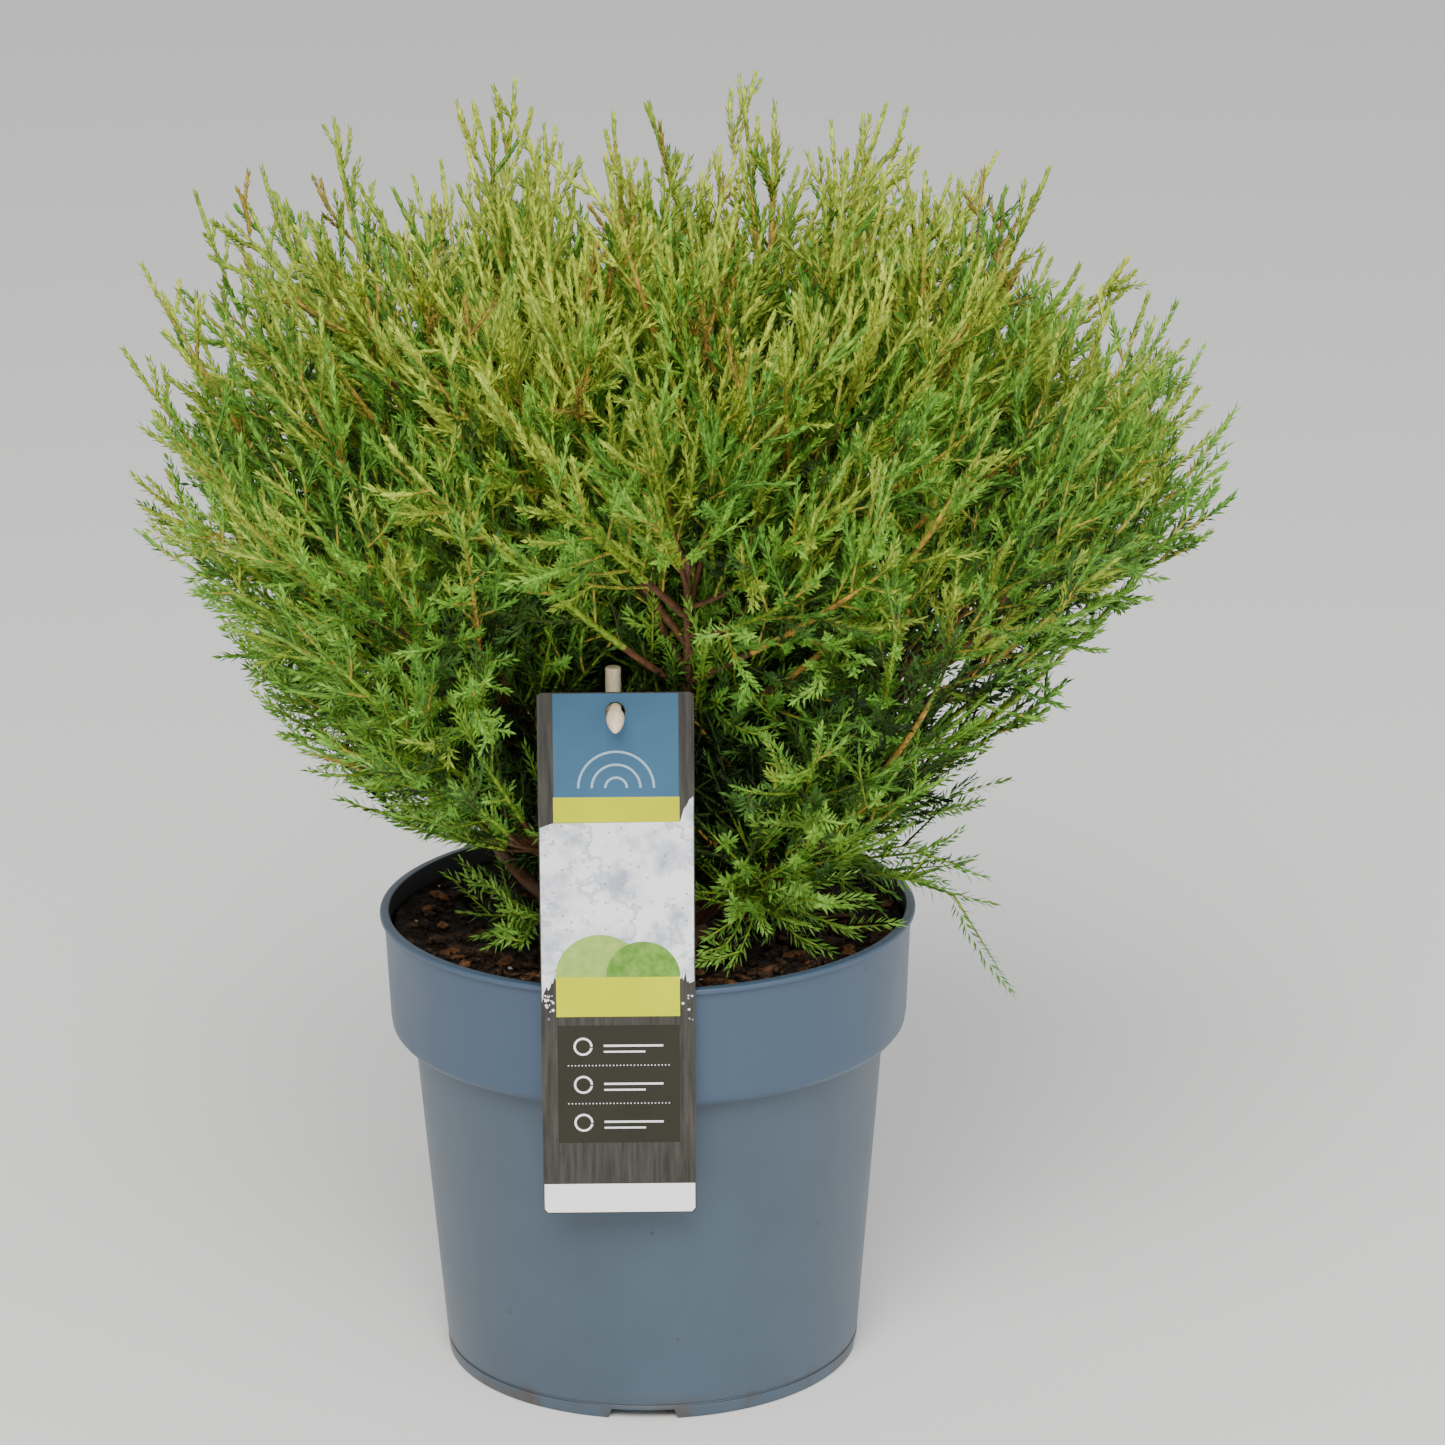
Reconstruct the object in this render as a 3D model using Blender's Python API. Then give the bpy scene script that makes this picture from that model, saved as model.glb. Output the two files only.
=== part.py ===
"""A round dwarf arborvitae in a round nursery pot, with a card hung on a peg. Metres, +Z up, front at -Y.

The plant is a short leaning trunk, one tapering bough for each mass of foliage, and masses that each keep to
their own cell of the crown. A mass is a lumpy core with three-sided twigs and slim sprays fused on.
"""

import math
import random

import bmesh
import bpy
from mathutils import Matrix, Vector
from mathutils.bvhtree import BVHTree

GAP = 0.0003
UP = Vector((0, 0, 1))
GOLDEN_ANGLE = math.radians(137.508)

# Pot
POT_SIDES = 40
POT_HEIGHT = 0.166
LIP_RADIUS = 0.095
LIP_DEPTH = 0.0024
LIP_OVERHANG = 0.0016
BAND_BOTTOM = 0.1222
BAND_BOTTOM_RADIUS = 0.0919
BODY_TOP_RADIUS = 0.0838
FOOT_RADIUS = 0.0744
FOOT_HEIGHT = 0.005
POT_WALL = 0.0017
POT_EDGE = 0.0005
BAND_ROUND = 0.0023
BAND_SHOULDER = 0.0058
FLOOR_THICKNESS = 0.002
FLOOR_RISE = 0.004
FLOOR_SLANT = 0.003
FLOOR_PAD_RADIUS = 0.047
NOTCHES = 4
NOTCH_FIRST_ANGLE = math.radians(267)
NOTCH_WIDTH = 0.026
NOTCH_HEIGHT = 0.0035
NOTCH_SLANT = 0.002
NOTCH_DEPTH = 0.012
CUT_PAST = 0.002

# Soil
SOIL_TOP = 0.152
SOIL_RINGS = ((0.026, 0.0), (0.050, 0.0022), (0.072, 0.0026), (0.086, 0.0016))
SOIL_SIDES = 24
SOIL_SEED = 41
SOIL_ROOM = 0.0045
RIM_ROOM = 0.0040

# Trunk, from its flat cut at the soil to its fork
TRUNK_FOOT = Vector((0.010, 0.002, SOIL_TOP + GAP))
TRUNK_FORK = Vector((0.0225, -0.002, 0.214))
TRUNK_SIDES = 12
TRUNK_RADII = ((0.0, 0.0125), (0.06, 0.0094), (0.18, 0.0075), (0.45, 0.0062), (0.8, 0.0052), (1.0, 0.0042))
FLARE_LOBES = 5
FLARE_LOBE_DEPTH = 0.22
FLARE_REACH = 0.25
TRUNK_BEND_HEIGHT = 0.034
TRUNK_POINTS = 9

# Crown: a flattened globe over a bowl that narrows to the pot
CROWN_AXIS_X = 0.008
CROWN_RADIUS = 0.203
CROWN_WIDEST = 0.335
CROWN_TOP = 0.457
CROWN_BOTTOM = 0.180
CROWN_BOTTOM_RADIUS = 0.090
CROWN_ROOT = Vector((0.014, 0.0, 0.172))
CELL_MARGIN = 0.0011
CORE_STEP = 0.004
CORE_LUMPS = (0.74, 1.0)
CORE_WATCH_ANGLE = math.radians(36)
CORE_LIMB_ROOM = 0.006
CORE_ROOM = 0.0006
CORE_LARGEST = 0.10
CORE_CENTRE = 0.55
CORE_DRAWN_IN = 0.9
CORE_MOST_ROUNDS = 14
REACH_NEAREST = 0.02
REACH_FARTHEST = 0.40

# Masses in rings round CROWN_ROOT, from the lowest to the top. Angles are in degrees; foot and lift are
# shares of the trunk's and the bough's length; core is the core's share of the reach; spread is how far the
# twigs fan out across and upwards; sweep turns the sprays up or down
RINGS = (
    dict(name="low", count=7, first=310, step=47, elevation=23, start=0.050, foot=0.24, lift=-0.02,
         core=0.93, twigs=5, spread=(0.42, 0.17), sweep=-0.10),
    dict(name="middle", count=8, first=0, step=45, elevation=42, start=0.090, foot=0.52, lift=-0.13,
         core=0.80, twigs=6, spread=(0.30, 0.19), sweep=0.20),
    dict(name="upper", count=6, first=0, step=60, elevation=64, start=0.100, foot=0.78, lift=-0.06,
         core=0.80, twigs=5, spread=(0.25, 0.21), sweep=0.25),
    dict(name="top", count=1, first=90, step=0, elevation=88, start=0.106, foot=1.0, lift=0.0,
         core=0.82, twigs=6, spread=(0.22, 0.22), sweep=0.30),
)
# Open sprays near the soil, with no core
SOIL_SPRAYS = (
    dict(name="soil_left", azimuth=212, elevation=-3, start=0.034, reach=0.086),
    dict(name="soil_right", azimuth=296, elevation=-2, start=0.032, reach=0.080),
    dict(name="rim_right", azimuth=343, elevation=5, start=0.040, reach=0.100),
)
SOIL_SPRAY_GROWTH = dict(lift=0.0, core=0.0, twigs=4, spread=(0.45, 0.12), sweep=0.05)
SOIL_BOUGH_FOOT = 0.10
BOUGH_FOOT_STAGGER = 0.10

BOUGH_POINTS = 6
BOUGH_SEATING_ROUNDS = 8
END_PROBES = 16
BOUGH_LOWEST = 0.008
BOUGH_STRAIGHT_END = 0.004
BOUGH_FOOT_RADIUS = 0.0027
BOUGH_TIP_RADIUS = 0.0017
SOIL_BOUGH_THINNING = 0.62
STEM_RADIUS = 0.0015
STEM_SIDES = 5
OPEN_STEM_SHARE = 0.80
TWIG_RADIUS = 0.0012
TWIG_THINNING = 0.6
TWIG_SHORTEST = 0.02
TWIG_FEET = (0.25, 0.85)
OPEN_TWIG_FEET = (0.15, 0.75)
TWIG_TIP_SHORT = (0.78, 0.94)
TWIG_TURN_SHAKE = 0.3
SPRAY_LENGTH = 0.040
SPRAY_WIDTH = 0.0080
SPRAY_THICKNESS = 0.0040
SPRAY_BELLY = 0.4
SPRAY_ROLL = 0.6
SPRAY_SIZES = (0.8, 1.0)
SPRAY_WIDTHS = (0.85, 1.15)
SPRAY_SHRINKS = (1.0, 0.8, 0.62)
END_SPRAY_SHARE = 0.93
# Where each side spray leaves its twig, and on which side; then how much of its heading is the twig's, the
# crown's outward heading and sideways, and how far it rises
SIDE_SPRAYS = ((0.58, 1), (0.84, -1))
SIDE_SPRAY_LEAN = (0.7, 0.4, 0.62)
SIDE_SPRAY_RISE = (-0.1, 0.3)
CLEARANCE_STEP = 0.004

# Card and peg
CARD_WIDTH = 0.052
CARD_HEIGHT = 0.1847
CARD_THICKNESS = 0.0007
CARD_TOP = Vector((-0.0099, -LIP_RADIUS - GAP - CARD_THICKNESS / 2, 0.2714))
CARD_TURN = math.radians(0.24)
CARD_CORNER = 0.0018
CARD_HOLE_RADIUS = 0.0035
CARD_HOLE_DROP = 0.0066
CARD_ROOM = 0.008
CARD_VIEW_RISE = 0.36
CARD_LIFT = 9
CARD_LIFT_WITHIN = 25
STICK_RADIUS = 0.00265
STICK_TOP = Vector((-0.0106, -0.0820, 0.2762))
STICK_FOOT = Vector((-0.0112, -0.0740, 0.0900))
STICK_ROOM = 0.0050
STICK_SIDES = 10
STICK_HOLE_SHARE = 0.6
PEG_NECK_RADIUS = 0.0020
PEG_NECK_PAST_CARD = 0.0035
PEG_HEAD_RADIUS = 0.0029
PEG_HEAD_LENGTH = 0.0107
PEG_HEAD_TAPER = 0.28
PEG_HEAD_SUNK = 0.10
PEG_LEAN = Vector((0, -0.88, -0.47))


def clear_scene():
    for obj in list(bpy.data.objects):
        bpy.data.objects.remove(obj, do_unlink=True)


def plain_material(name, colour, roughness):
    material = bpy.data.materials.new(name)
    material.use_nodes = True
    shader = material.node_tree.nodes["Principled BSDF"]
    shader.inputs["Base Color"].default_value = (*colour, 1.0)
    shader.inputs["Roughness"].default_value = roughness
    material.diffuse_color = (*colour, 1.0)
    return material


def object_from(name, bm, material=None, smooth_angle=None, home=None):
    """A new object that holds the bmesh, in the collection home or in the scene itself."""
    mesh = bpy.data.meshes.new(name)
    bmesh.ops.recalc_face_normals(bm, faces=bm.faces)
    bm.to_mesh(mesh)
    bm.free()
    if smooth_angle is not None:
        mesh.shade_smooth()
        mesh.set_sharp_from_angle(angle=math.radians(smooth_angle))
    obj = bpy.data.objects.new(name, mesh)
    (home or bpy.context.scene.collection).objects.link(obj)
    if material:
        mesh.materials.append(material)
    return obj


def apply_modifiers(obj):
    graph = bpy.context.evaluated_depsgraph_get()
    evaluated = bpy.data.meshes.new_from_object(obj.evaluated_get(graph))
    obj.modifiers.clear()
    obj.data = evaluated


def direction(azimuth, elevation):
    """The unit vector at these angles in degrees: azimuth 0 is +X, 270 is the front."""
    a, e = math.radians(azimuth), math.radians(elevation)
    return Vector((math.cos(a) * math.cos(e), math.sin(a) * math.cos(e), math.sin(e)))


def side_frame(axis):
    """Two unit vectors across an axis, the second as near to +Z as can be."""
    across = axis.cross(UP)
    if across.length < 1e-4:
        across = Vector((1, 0, 0))
    across.normalize()
    return across, across.cross(axis).normalized()


# Pot and soil


def inner_radius(z):
    """The pot's inner radius at a height, under the band and in it."""
    slope = (BODY_TOP_RADIUS - FOOT_RADIUS) / (BAND_BOTTOM - FOOT_HEIGHT)
    return FOOT_RADIUS + slope * (z - FOOT_HEIGHT) - POT_WALL


def turned(bm, profile, sides):
    """Spins a profile of (radius, height) about the Z axis; its two ends lie on the axis."""
    verts = [bm.verts.new((r, 0, z)) for r, z in profile]
    edges = [bm.edges.new(pair) for pair in zip(verts, verts[1:])]
    bmesh.ops.spin(
        bm,
        geom=verts + edges,
        cent=(0, 0, 0),
        axis=(0, 0, 1),
        angle=2 * math.pi,
        steps=sides,
        use_merge=True,
        use_duplicate=False,
    )
    bmesh.ops.remove_doubles(bm, verts=bm.verts, dist=1e-6)


def pot_profile():
    band_top = POT_HEIGHT - LIP_DEPTH
    band_top_radius = LIP_RADIUS - LIP_OVERHANG
    floor = FLOOR_RISE + FLOOR_THICKNESS
    return (
        (0, 0),
        (FLOOR_PAD_RADIUS, 0),
        (FLOOR_PAD_RADIUS + FLOOR_SLANT, FLOOR_RISE),
        (FOOT_RADIUS - POT_WALL - 2 * POT_EDGE, FLOOR_RISE),
        (FOOT_RADIUS - POT_WALL - POT_EDGE, 0),
        (FOOT_RADIUS - POT_EDGE, 0),
        (FOOT_RADIUS, FOOT_HEIGHT),
        (BODY_TOP_RADIUS, BAND_BOTTOM - POT_EDGE),
        (BAND_BOTTOM_RADIUS - BAND_ROUND, BAND_BOTTOM),
        (BAND_BOTTOM_RADIUS - POT_EDGE, BAND_BOTTOM + BAND_ROUND),
        (BAND_BOTTOM_RADIUS, BAND_BOTTOM + BAND_SHOULDER),
        (band_top_radius, band_top),
        (LIP_RADIUS, band_top + POT_EDGE),
        (LIP_RADIUS, POT_HEIGHT - POT_EDGE),
        (LIP_RADIUS - POT_EDGE, POT_HEIGHT),
        (band_top_radius - POT_WALL, POT_HEIGHT),
        (BAND_BOTTOM_RADIUS - POT_WALL, BAND_BOTTOM + BAND_SHOULDER),
        (BODY_TOP_RADIUS - POT_WALL, BAND_BOTTOM),
        (inner_radius(floor), floor),
        (FLOOR_PAD_RADIUS + FLOOR_SLANT, floor),
        (FLOOR_PAD_RADIUS, FLOOR_THICKNESS),
        (0, FLOOR_THICKNESS),
    )


def make_pot(material):
    bm = bmesh.new()
    turned(bm, pot_profile(), POT_SIDES)
    pot = object_from("pot", bm, material, 35)
    cutter_mesh = bmesh.new()
    for i in range(NOTCHES):
        angle = NOTCH_FIRST_ANGLE + i * 2 * math.pi / NOTCHES
        made = bmesh.ops.create_cube(cutter_mesh, size=1.0)["verts"]
        for v in made:
            half = NOTCH_WIDTH / 2 - (NOTCH_SLANT if v.co.z > 0 else 0)
            height = NOTCH_HEIGHT if v.co.z > 0 else -CUT_PAST
            v.co = Vector((FOOT_RADIUS + v.co.x * NOTCH_DEPTH, math.copysign(half, v.co.y), height))
        bmesh.ops.rotate(cutter_mesh, verts=made, cent=(0, 0, 0), matrix=Matrix.Rotation(angle, 3, "Z"))
    cutter = object_from("notch_cutter", cutter_mesh)
    cutter.hide_render = True
    cutter.display_type = "WIRE"
    cut = pot.modifiers.new("notches", "BOOLEAN")
    cut.operation = "DIFFERENCE"
    cut.object = cutter


def make_soil(material):
    """Potting soil that fills the pot, lumpy on top but flat under the trunk, with a hole for the stick."""
    rng = random.Random(SOIL_SEED)
    floor = FLOOR_RISE + FLOOR_THICKNESS + GAP
    bm = bmesh.new()
    side = [
        (0, FLOOR_THICKNESS + GAP),
        (FLOOR_PAD_RADIUS - GAP, FLOOR_THICKNESS + GAP),
        (FLOOR_PAD_RADIUS + FLOOR_SLANT, floor),
        (inner_radius(floor) - 2 * GAP, floor),
        (BODY_TOP_RADIUS - POT_WALL - 2 * GAP, BAND_BOTTOM + GAP),
        (BAND_BOTTOM_RADIUS - POT_WALL - 3 * GAP, BAND_BOTTOM + BAND_SHOULDER),
        (BAND_BOTTOM_RADIUS - POT_WALL - 2 * GAP, SOIL_TOP - SOIL_RINGS[-1][1]),
    ]
    turned(bm, side + [(r, SOIL_TOP) for r, _ in reversed(SOIL_RINGS)] + [(0, SOIL_TOP)], SOIL_SIDES)
    for v in bm.verts:
        radius = math.hypot(v.co.x, v.co.y)
        for ring_radius, roughness in SOIL_RINGS:
            if abs(v.co.z - SOIL_TOP) < GAP and abs(radius - ring_radius) < GAP:
                v.co.z += rng.uniform(-roughness, roughness)
    soil = object_from("soil", bm, material)
    hole_mesh = bmesh.new()
    axis = STICK_TOP - STICK_FOOT
    bottom = STICK_FOOT - axis.normalized() * GAP
    cylinder(hole_mesh, bottom, STICK_FOOT + axis * STICK_HOLE_SHARE, STICK_RADIUS + GAP, None, STICK_SIDES)
    hole = object_from("stick_hole_cutter", hole_mesh)
    hole.hide_render = True
    hole.display_type = "WIRE"
    cut = soil.modifiers.new("stick hole", "BOOLEAN")
    cut.operation = "DIFFERENCE"
    cut.object = hole


# Limbs


def along(path, share):
    """The point at this share of a polyline's length, and the polyline's direction there."""
    lengths = [(b - a).length for a, b in zip(path, path[1:])]
    left = share * sum(lengths)
    for i, length in enumerate(lengths):
        if left <= length or i == len(lengths) - 1:
            step = (path[i + 1] - path[i]).normalized()
            return path[i] + step * min(left, length), step
        left -= length


def bend(start, middle, end, count):
    """Points along the curve that leaves start towards middle and ends at end."""
    shares = [i / (count - 1) for i in range(count)]
    return [start * (1 - t) ** 2 + middle * 2 * t * (1 - t) + end * t**2 for t in shares]


def cylinder(bm, start, end, radius, end_radius, sides):
    """A capped cylinder or cone frustum between two points."""
    axis = end - start
    turn = axis.to_track_quat("Z", "Y").to_matrix().to_4x4()
    place = Matrix.Translation((start + end) / 2) @ turn
    return bmesh.ops.create_cone(
        bm,
        cap_ends=True,
        segments=sides,
        radius1=radius,
        radius2=radius if end_radius is None else end_radius,
        depth=axis.length,
        matrix=place,
    )["verts"]


def trunk_path():
    middle = TRUNK_FOOT + UP * TRUNK_BEND_HEIGHT
    return bend(TRUNK_FOOT, middle, TRUNK_FORK, TRUNK_POINTS)


def trunk_radius(share):
    for (a, r_a), (b, r_b) in zip(TRUNK_RADII, TRUNK_RADII[1:]):
        if share <= b:
            return r_a + (r_b - r_a) * (share - a) / (b - a)
    return TRUNK_RADII[-1][1]


def flare_depth(share):
    """How far the root flare's lobes stand out, as a share of the trunk's radius."""
    return FLARE_LOBE_DEPTH * max(0.0, 1 - share / FLARE_REACH)


def make_trunk(material):
    """Rings extruded up the trunk's path; the lowest lies flat at the soil and has the root flare's lobes.

    Returns the trunk's skin as a tree that finds the nearest point on it.
    """
    bm = bmesh.new()
    bmesh.ops.create_circle(bm, cap_ends=True, segments=TRUNK_SIDES, radius=1.0)
    face = bm.faces[:][0]
    rings = [list(face.verts)]
    for _ in TRUNK_RADII[1:]:
        inner = face if len(rings) > 1 else None
        made = bmesh.ops.extrude_face_region(bm, geom=[face])["geom"]
        face = [part for part in made if isinstance(part, bmesh.types.BMFace)][0]
        rings.append(list(face.verts))
        if inner:
            bmesh.ops.delete(bm, geom=[inner], context="FACES_ONLY")
    path = trunk_path()
    for ring, (share, radius) in zip(rings, TRUNK_RADII):
        centre, heading = along(path, share)
        if share == 0:
            heading = UP.copy()
        turn = UP.rotation_difference(heading)
        flare = flare_depth(share)
        for v in ring:
            angle = math.atan2(v.co.y, v.co.x)
            around = Vector((math.cos(angle), math.sin(angle), 0))
            v.co = centre + turn @ (around * radius * (1 + flare * math.cos(FLARE_LOBES * angle)))
    bmesh.ops.triangulate(bm, faces=bm.faces)
    skin = BVHTree.FromBMesh(bm)
    object_from("trunk", bm, material, 60)
    return skin


def bough_radius(share, scale):
    return scale * (BOUGH_FOOT_RADIUS + (BOUGH_TIP_RADIUS - BOUGH_FOOT_RADIUS) * share)


def end_clearance(skin, centre, heading, radius):
    """How far a limb's round end lies from the trunk's skin."""
    across, above = side_frame(heading)
    nearest = skin.find_nearest(centre)[3]
    for i in range(END_PROBES):
        angle = 2 * math.pi * i / END_PROBES
        out = (across * math.cos(angle) + above * math.sin(angle)) * radius
        nearest = min(nearest, skin.find_nearest(centre + out)[3], skin.find_nearest(centre + out / 2)[3])
    return nearest


def bough_path(mass, skin):
    """From the trunk's skin, out and up to where the bough enters its mass, with a short straight end."""
    foot, leaving = along(trunk_path(), mass["foot"])
    tip = CROWN_ROOT + mass["heading"] * mass["start"]
    end = tip - mass["heading"] * BOUGH_STRAIGHT_END
    if mass["foot"] < 1:
        leaving = Vector((mass["heading"].x, mass["heading"].y, 0)).normalized()
    start = foot + leaving * TRUNK_RADII[0][1] * 2
    for _ in range(BOUGH_SEATING_ROUNDS):
        middle = start.lerp(end, 0.5)
        if mass["foot"] < 1:
            middle += (UP - leaving) * (end - start).length * mass["lift"]
            middle.z = max(middle.z, SOIL_TOP + BOUGH_LOWEST)
        path = bend(start, middle, end, BOUGH_POINTS)
        clearance = end_clearance(skin, start, path[1] - path[0], bough_radius(0, mass["scale"]))
        start = start - leaving * (clearance - GAP)
    return path + [tip]


def make_bough(mass, material):
    """A curve with a round bevel that tapers from foot to tip."""
    path = mass["bough"]
    curve = bpy.data.curves.new("bough_" + mass["name"], "CURVE")
    curve.dimensions = "3D"
    curve.bevel_depth = 1.0
    curve.bevel_resolution = 1
    curve.use_fill_caps = True
    spline = curve.splines.new("POLY")
    spline.points.add(len(path) - 1)
    for i, (point, place) in enumerate(zip(spline.points, path)):
        point.co = (*place, 1.0)
        point.radius = bough_radius(i / (len(path) - 1), mass["scale"])
    curve.materials.append(material)
    bough = bpy.data.objects.new(curve.name, curve)
    bpy.context.scene.collection.objects.link(bough)


# Crown


def crown_radius(z):
    """How far the crown reaches from its axis at a height."""
    if z >= CROWN_WIDEST:
        rise = (z - CROWN_WIDEST) / (CROWN_TOP - CROWN_WIDEST)
        return CROWN_RADIUS * math.sqrt(max(0.0, 1 - rise**2))
    rise = max(0.0, (z - CROWN_BOTTOM) / (CROWN_WIDEST - CROWN_BOTTOM))
    return CROWN_BOTTOM_RADIUS + (CROWN_RADIUS - CROWN_BOTTOM_RADIUS) * math.sin(rise * math.pi / 2)


def in_crown(point):
    if point.z > CROWN_TOP:
        return False
    return math.hypot(point.x - CROWN_AXIS_X, point.y) < crown_radius(point.z)


def crown_reach(heading):
    """How far the crown goes from CROWN_ROOT along a heading."""
    near, far = REACH_NEAREST, REACH_FARTHEST
    while far - near > GAP / 100:
        half = (near + far) / 2
        if in_crown(CROWN_ROOT + heading * half):
            near = half
        else:
            far = half
    return near


def plan_masses(skin):
    """Each mass as a plain record: where it lies, what its bough is, and how it grows."""
    masses = []
    for ring in RINGS:
        for i in range(ring["count"]):
            azimuth = (ring["first"] + i * ring["step"]) % 360
            over_card = ring["name"] == "middle" and abs(azimuth - 270) < CARD_LIFT_WITHIN
            heading = direction(azimuth, ring["elevation"] + CARD_LIFT * over_card)
            masses.append(dict(
                ring,
                name=ring["name"] if ring["count"] == 1 else f"{ring['name']}_{i + 1}",
                heading=heading,
                reach=crown_reach(heading),
                foot=ring["foot"] + BOUGH_FOOT_STAGGER * (i % 2),
                scale=1.0,
                seed=len(masses) + 1,
            ))
    for spray in SOIL_SPRAYS:
        heading = direction(spray["azimuth"], spray["elevation"])
        masses.append(dict(
            SOIL_SPRAY_GROWTH,
            name=spray["name"],
            start=spray["start"],
            reach=spray["reach"],
            heading=heading,
            foot=SOIL_BOUGH_FOOT,
            scale=SOIL_BOUGH_THINNING,
            seed=len(masses) + 1,
        ))
    for mass in masses:
        mass["bough"] = bough_path(mass, skin)
    return masses


def limb_clearance(point, limbs):
    """How far a point lies from the skin of the nearest limb."""
    nearest = math.inf
    for path, radius_at in limbs:
        for i, (a, b) in enumerate(zip(path, path[1:])):
            span = b - a
            share = min(1.0, max(0.0, (point - a).dot(span) / span.length_squared))
            distance = (point - a - span * share).length - radius_at((i + share) / (len(path) - 1))
            nearest = min(nearest, distance)
    return nearest


def cell_depth(point, mass, masses):
    """How deep a point lies in the mass's own cell: the cone of headings from CROWN_ROOT nearest its own."""
    ray = point - CROWN_ROOT
    others = [other["heading"] for other in masses if other is not mass]
    return min(ray.dot((mass["heading"] - heading).normalized()) for heading in others)


def blocked(point):
    """True in the soil, the pot's wall, the card, the stick and the open view of the card."""
    radius = math.hypot(point.x, point.y)
    if point.z < SOIL_TOP + SOIL_ROOM and radius < LIP_RADIUS + RIM_ROOM:
        return True
    wall = LIP_RADIUS - LIP_OVERHANG - POT_WALL
    if wall - RIM_ROOM < radius < LIP_RADIUS + RIM_ROOM and point.z < POT_HEIGHT + RIM_ROOM / 2:
        return True
    beside = abs(point.x - CARD_TOP.x) < CARD_WIDTH / 2 + CARD_ROOM
    if beside and point.y < CARD_TOP.y + CARD_ROOM:
        return point.z < CARD_TOP.z + CARD_ROOM + CARD_VIEW_RISE * max(0.0, CARD_TOP.y - point.y)
    near_stick = math.hypot(point.x - STICK_TOP.x, point.y - STICK_TOP.y) < STICK_RADIUS + STICK_ROOM
    return near_stick and point.z < STICK_TOP.z + STICK_ROOM


def allowed(point, mass, masses, limbs, margin):
    return (
        not blocked(point)
        and cell_depth(point, mass, masses) > CELL_MARGIN + margin
        and limb_clearance(point, limbs) > margin + GAP
    )


def way_allowed(start, end, mass, masses, limbs, margin):
    """True if every few millimetres of a straight way keep to the cell and clear of the limbs."""
    count = max(2, math.ceil((end - start).length / CLEARANCE_STEP))
    return all(allowed(start.lerp(end, i / count), mass, masses, limbs, margin) for i in range(count + 1))


def core_mesh(mass, masses, limbs, rng):
    """A lumpy closed solid that fills most of the cell; each corner is drawn in until it is clear."""
    bm = bmesh.new()
    bmesh.ops.create_icosphere(bm, subdivisions=2, radius=1.0)
    outer = mass["core"] * mass["reach"]
    centre = CROWN_ROOT + mass["heading"] * (mass["start"] + CORE_CENTRE * (outer - mass["start"]))
    for v in bm.verts:
        out = v.co.normalized()
        lump = rng.uniform(*CORE_LUMPS)
        length = CORE_STEP
        while length < CORE_LARGEST:
            point = centre + out * (length + CORE_STEP)
            ray = point - CROWN_ROOT
            farthest = mass["core"] * crown_reach(ray.normalized())
            inside = mass["start"] + CORE_STEP < ray.length < farthest
            if not inside or not allowed(point, mass, masses, limbs, CORE_ROOM):
                break
            length += CORE_STEP
        for path, _ in limbs:
            for spot in path:
                if (spot - centre).angle(out) < CORE_WATCH_ANGLE:
                    length = min(length, (spot - centre).length - CORE_LIMB_ROOM)
        length = max(length, CORE_STEP)
        v.co = centre + out * length * lump
    for _ in range(CORE_MOST_ROUNDS):
        tight = set()
        for face in bm.faces:
            samples = [face.calc_center_median()]
            samples += [(edge.verts[0].co + edge.verts[1].co) / 2 for edge in face.edges]
            if any(limb_clearance(p, limbs) < 2 * CORE_ROOM or blocked(p) for p in samples):
                tight.update(face.verts)
        if not tight:
            break
        for v in tight:
            v.co = centre + (v.co - centre) * CORE_DRAWN_IN
    return bm


def spindle(bm, root, tip, width, thickness, roll):
    """An eight-faced spray: widest at two fifths of its length, flat across, sharp at both ends."""
    axis = (tip - root).normalized()
    across, above = side_frame(axis)
    across, above = (
        across * math.cos(roll) + above * math.sin(roll),
        above * math.cos(roll) - across * math.sin(roll),
    )
    made = bmesh.ops.create_uvsphere(bm, u_segments=4, v_segments=2, radius=1.0)["verts"]
    for v in made:
        local = v.co.copy()
        share = (local.z + 1) / 2 if abs(local.z) > 0.5 else SPRAY_BELLY
        v.co = root.lerp(tip, share) + across * local.x * width / 2 + above * local.y * thickness / 2


def twig_plan(mass, rng):
    """Each twig as (foot, tip): feet climb the stem and tips are spread evenly over the mass's outer face."""
    stem_foot = mass["bough"][-1] + mass["heading"] * GAP
    stem_share = mass["core"] or OPEN_STEM_SHARE
    stem_tip = CROWN_ROOT + mass["heading"] * mass["reach"] * stem_share
    across, above = side_frame(mass["heading"])
    wide, high = mass["spread"]
    lowest, highest = TWIG_FEET if mass["core"] else OPEN_TWIG_FEET
    plans = []
    for k in range(mass["twigs"]):
        out = math.sqrt((k + 0.35) / mass["twigs"])
        turn = k * GOLDEN_ANGLE + rng.uniform(-TWIG_TURN_SHAKE, TWIG_TURN_SHAKE)
        fan = across * wide * out * math.cos(turn) + above * high * out * math.sin(turn)
        heading = (mass["heading"] + fan).normalized()
        reach = crown_reach(heading) if mass["core"] else mass["reach"]
        tip = CROWN_ROOT + heading * (reach - SPRAY_LENGTH * rng.uniform(*TWIG_TIP_SHORT))
        climb = 1 - k / mass["twigs"] if mass["core"] else k / mass["twigs"]
        plans.append((stem_foot.lerp(stem_tip, lowest + (highest - lowest) * climb), tip))
    return stem_foot, stem_tip, plans


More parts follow.
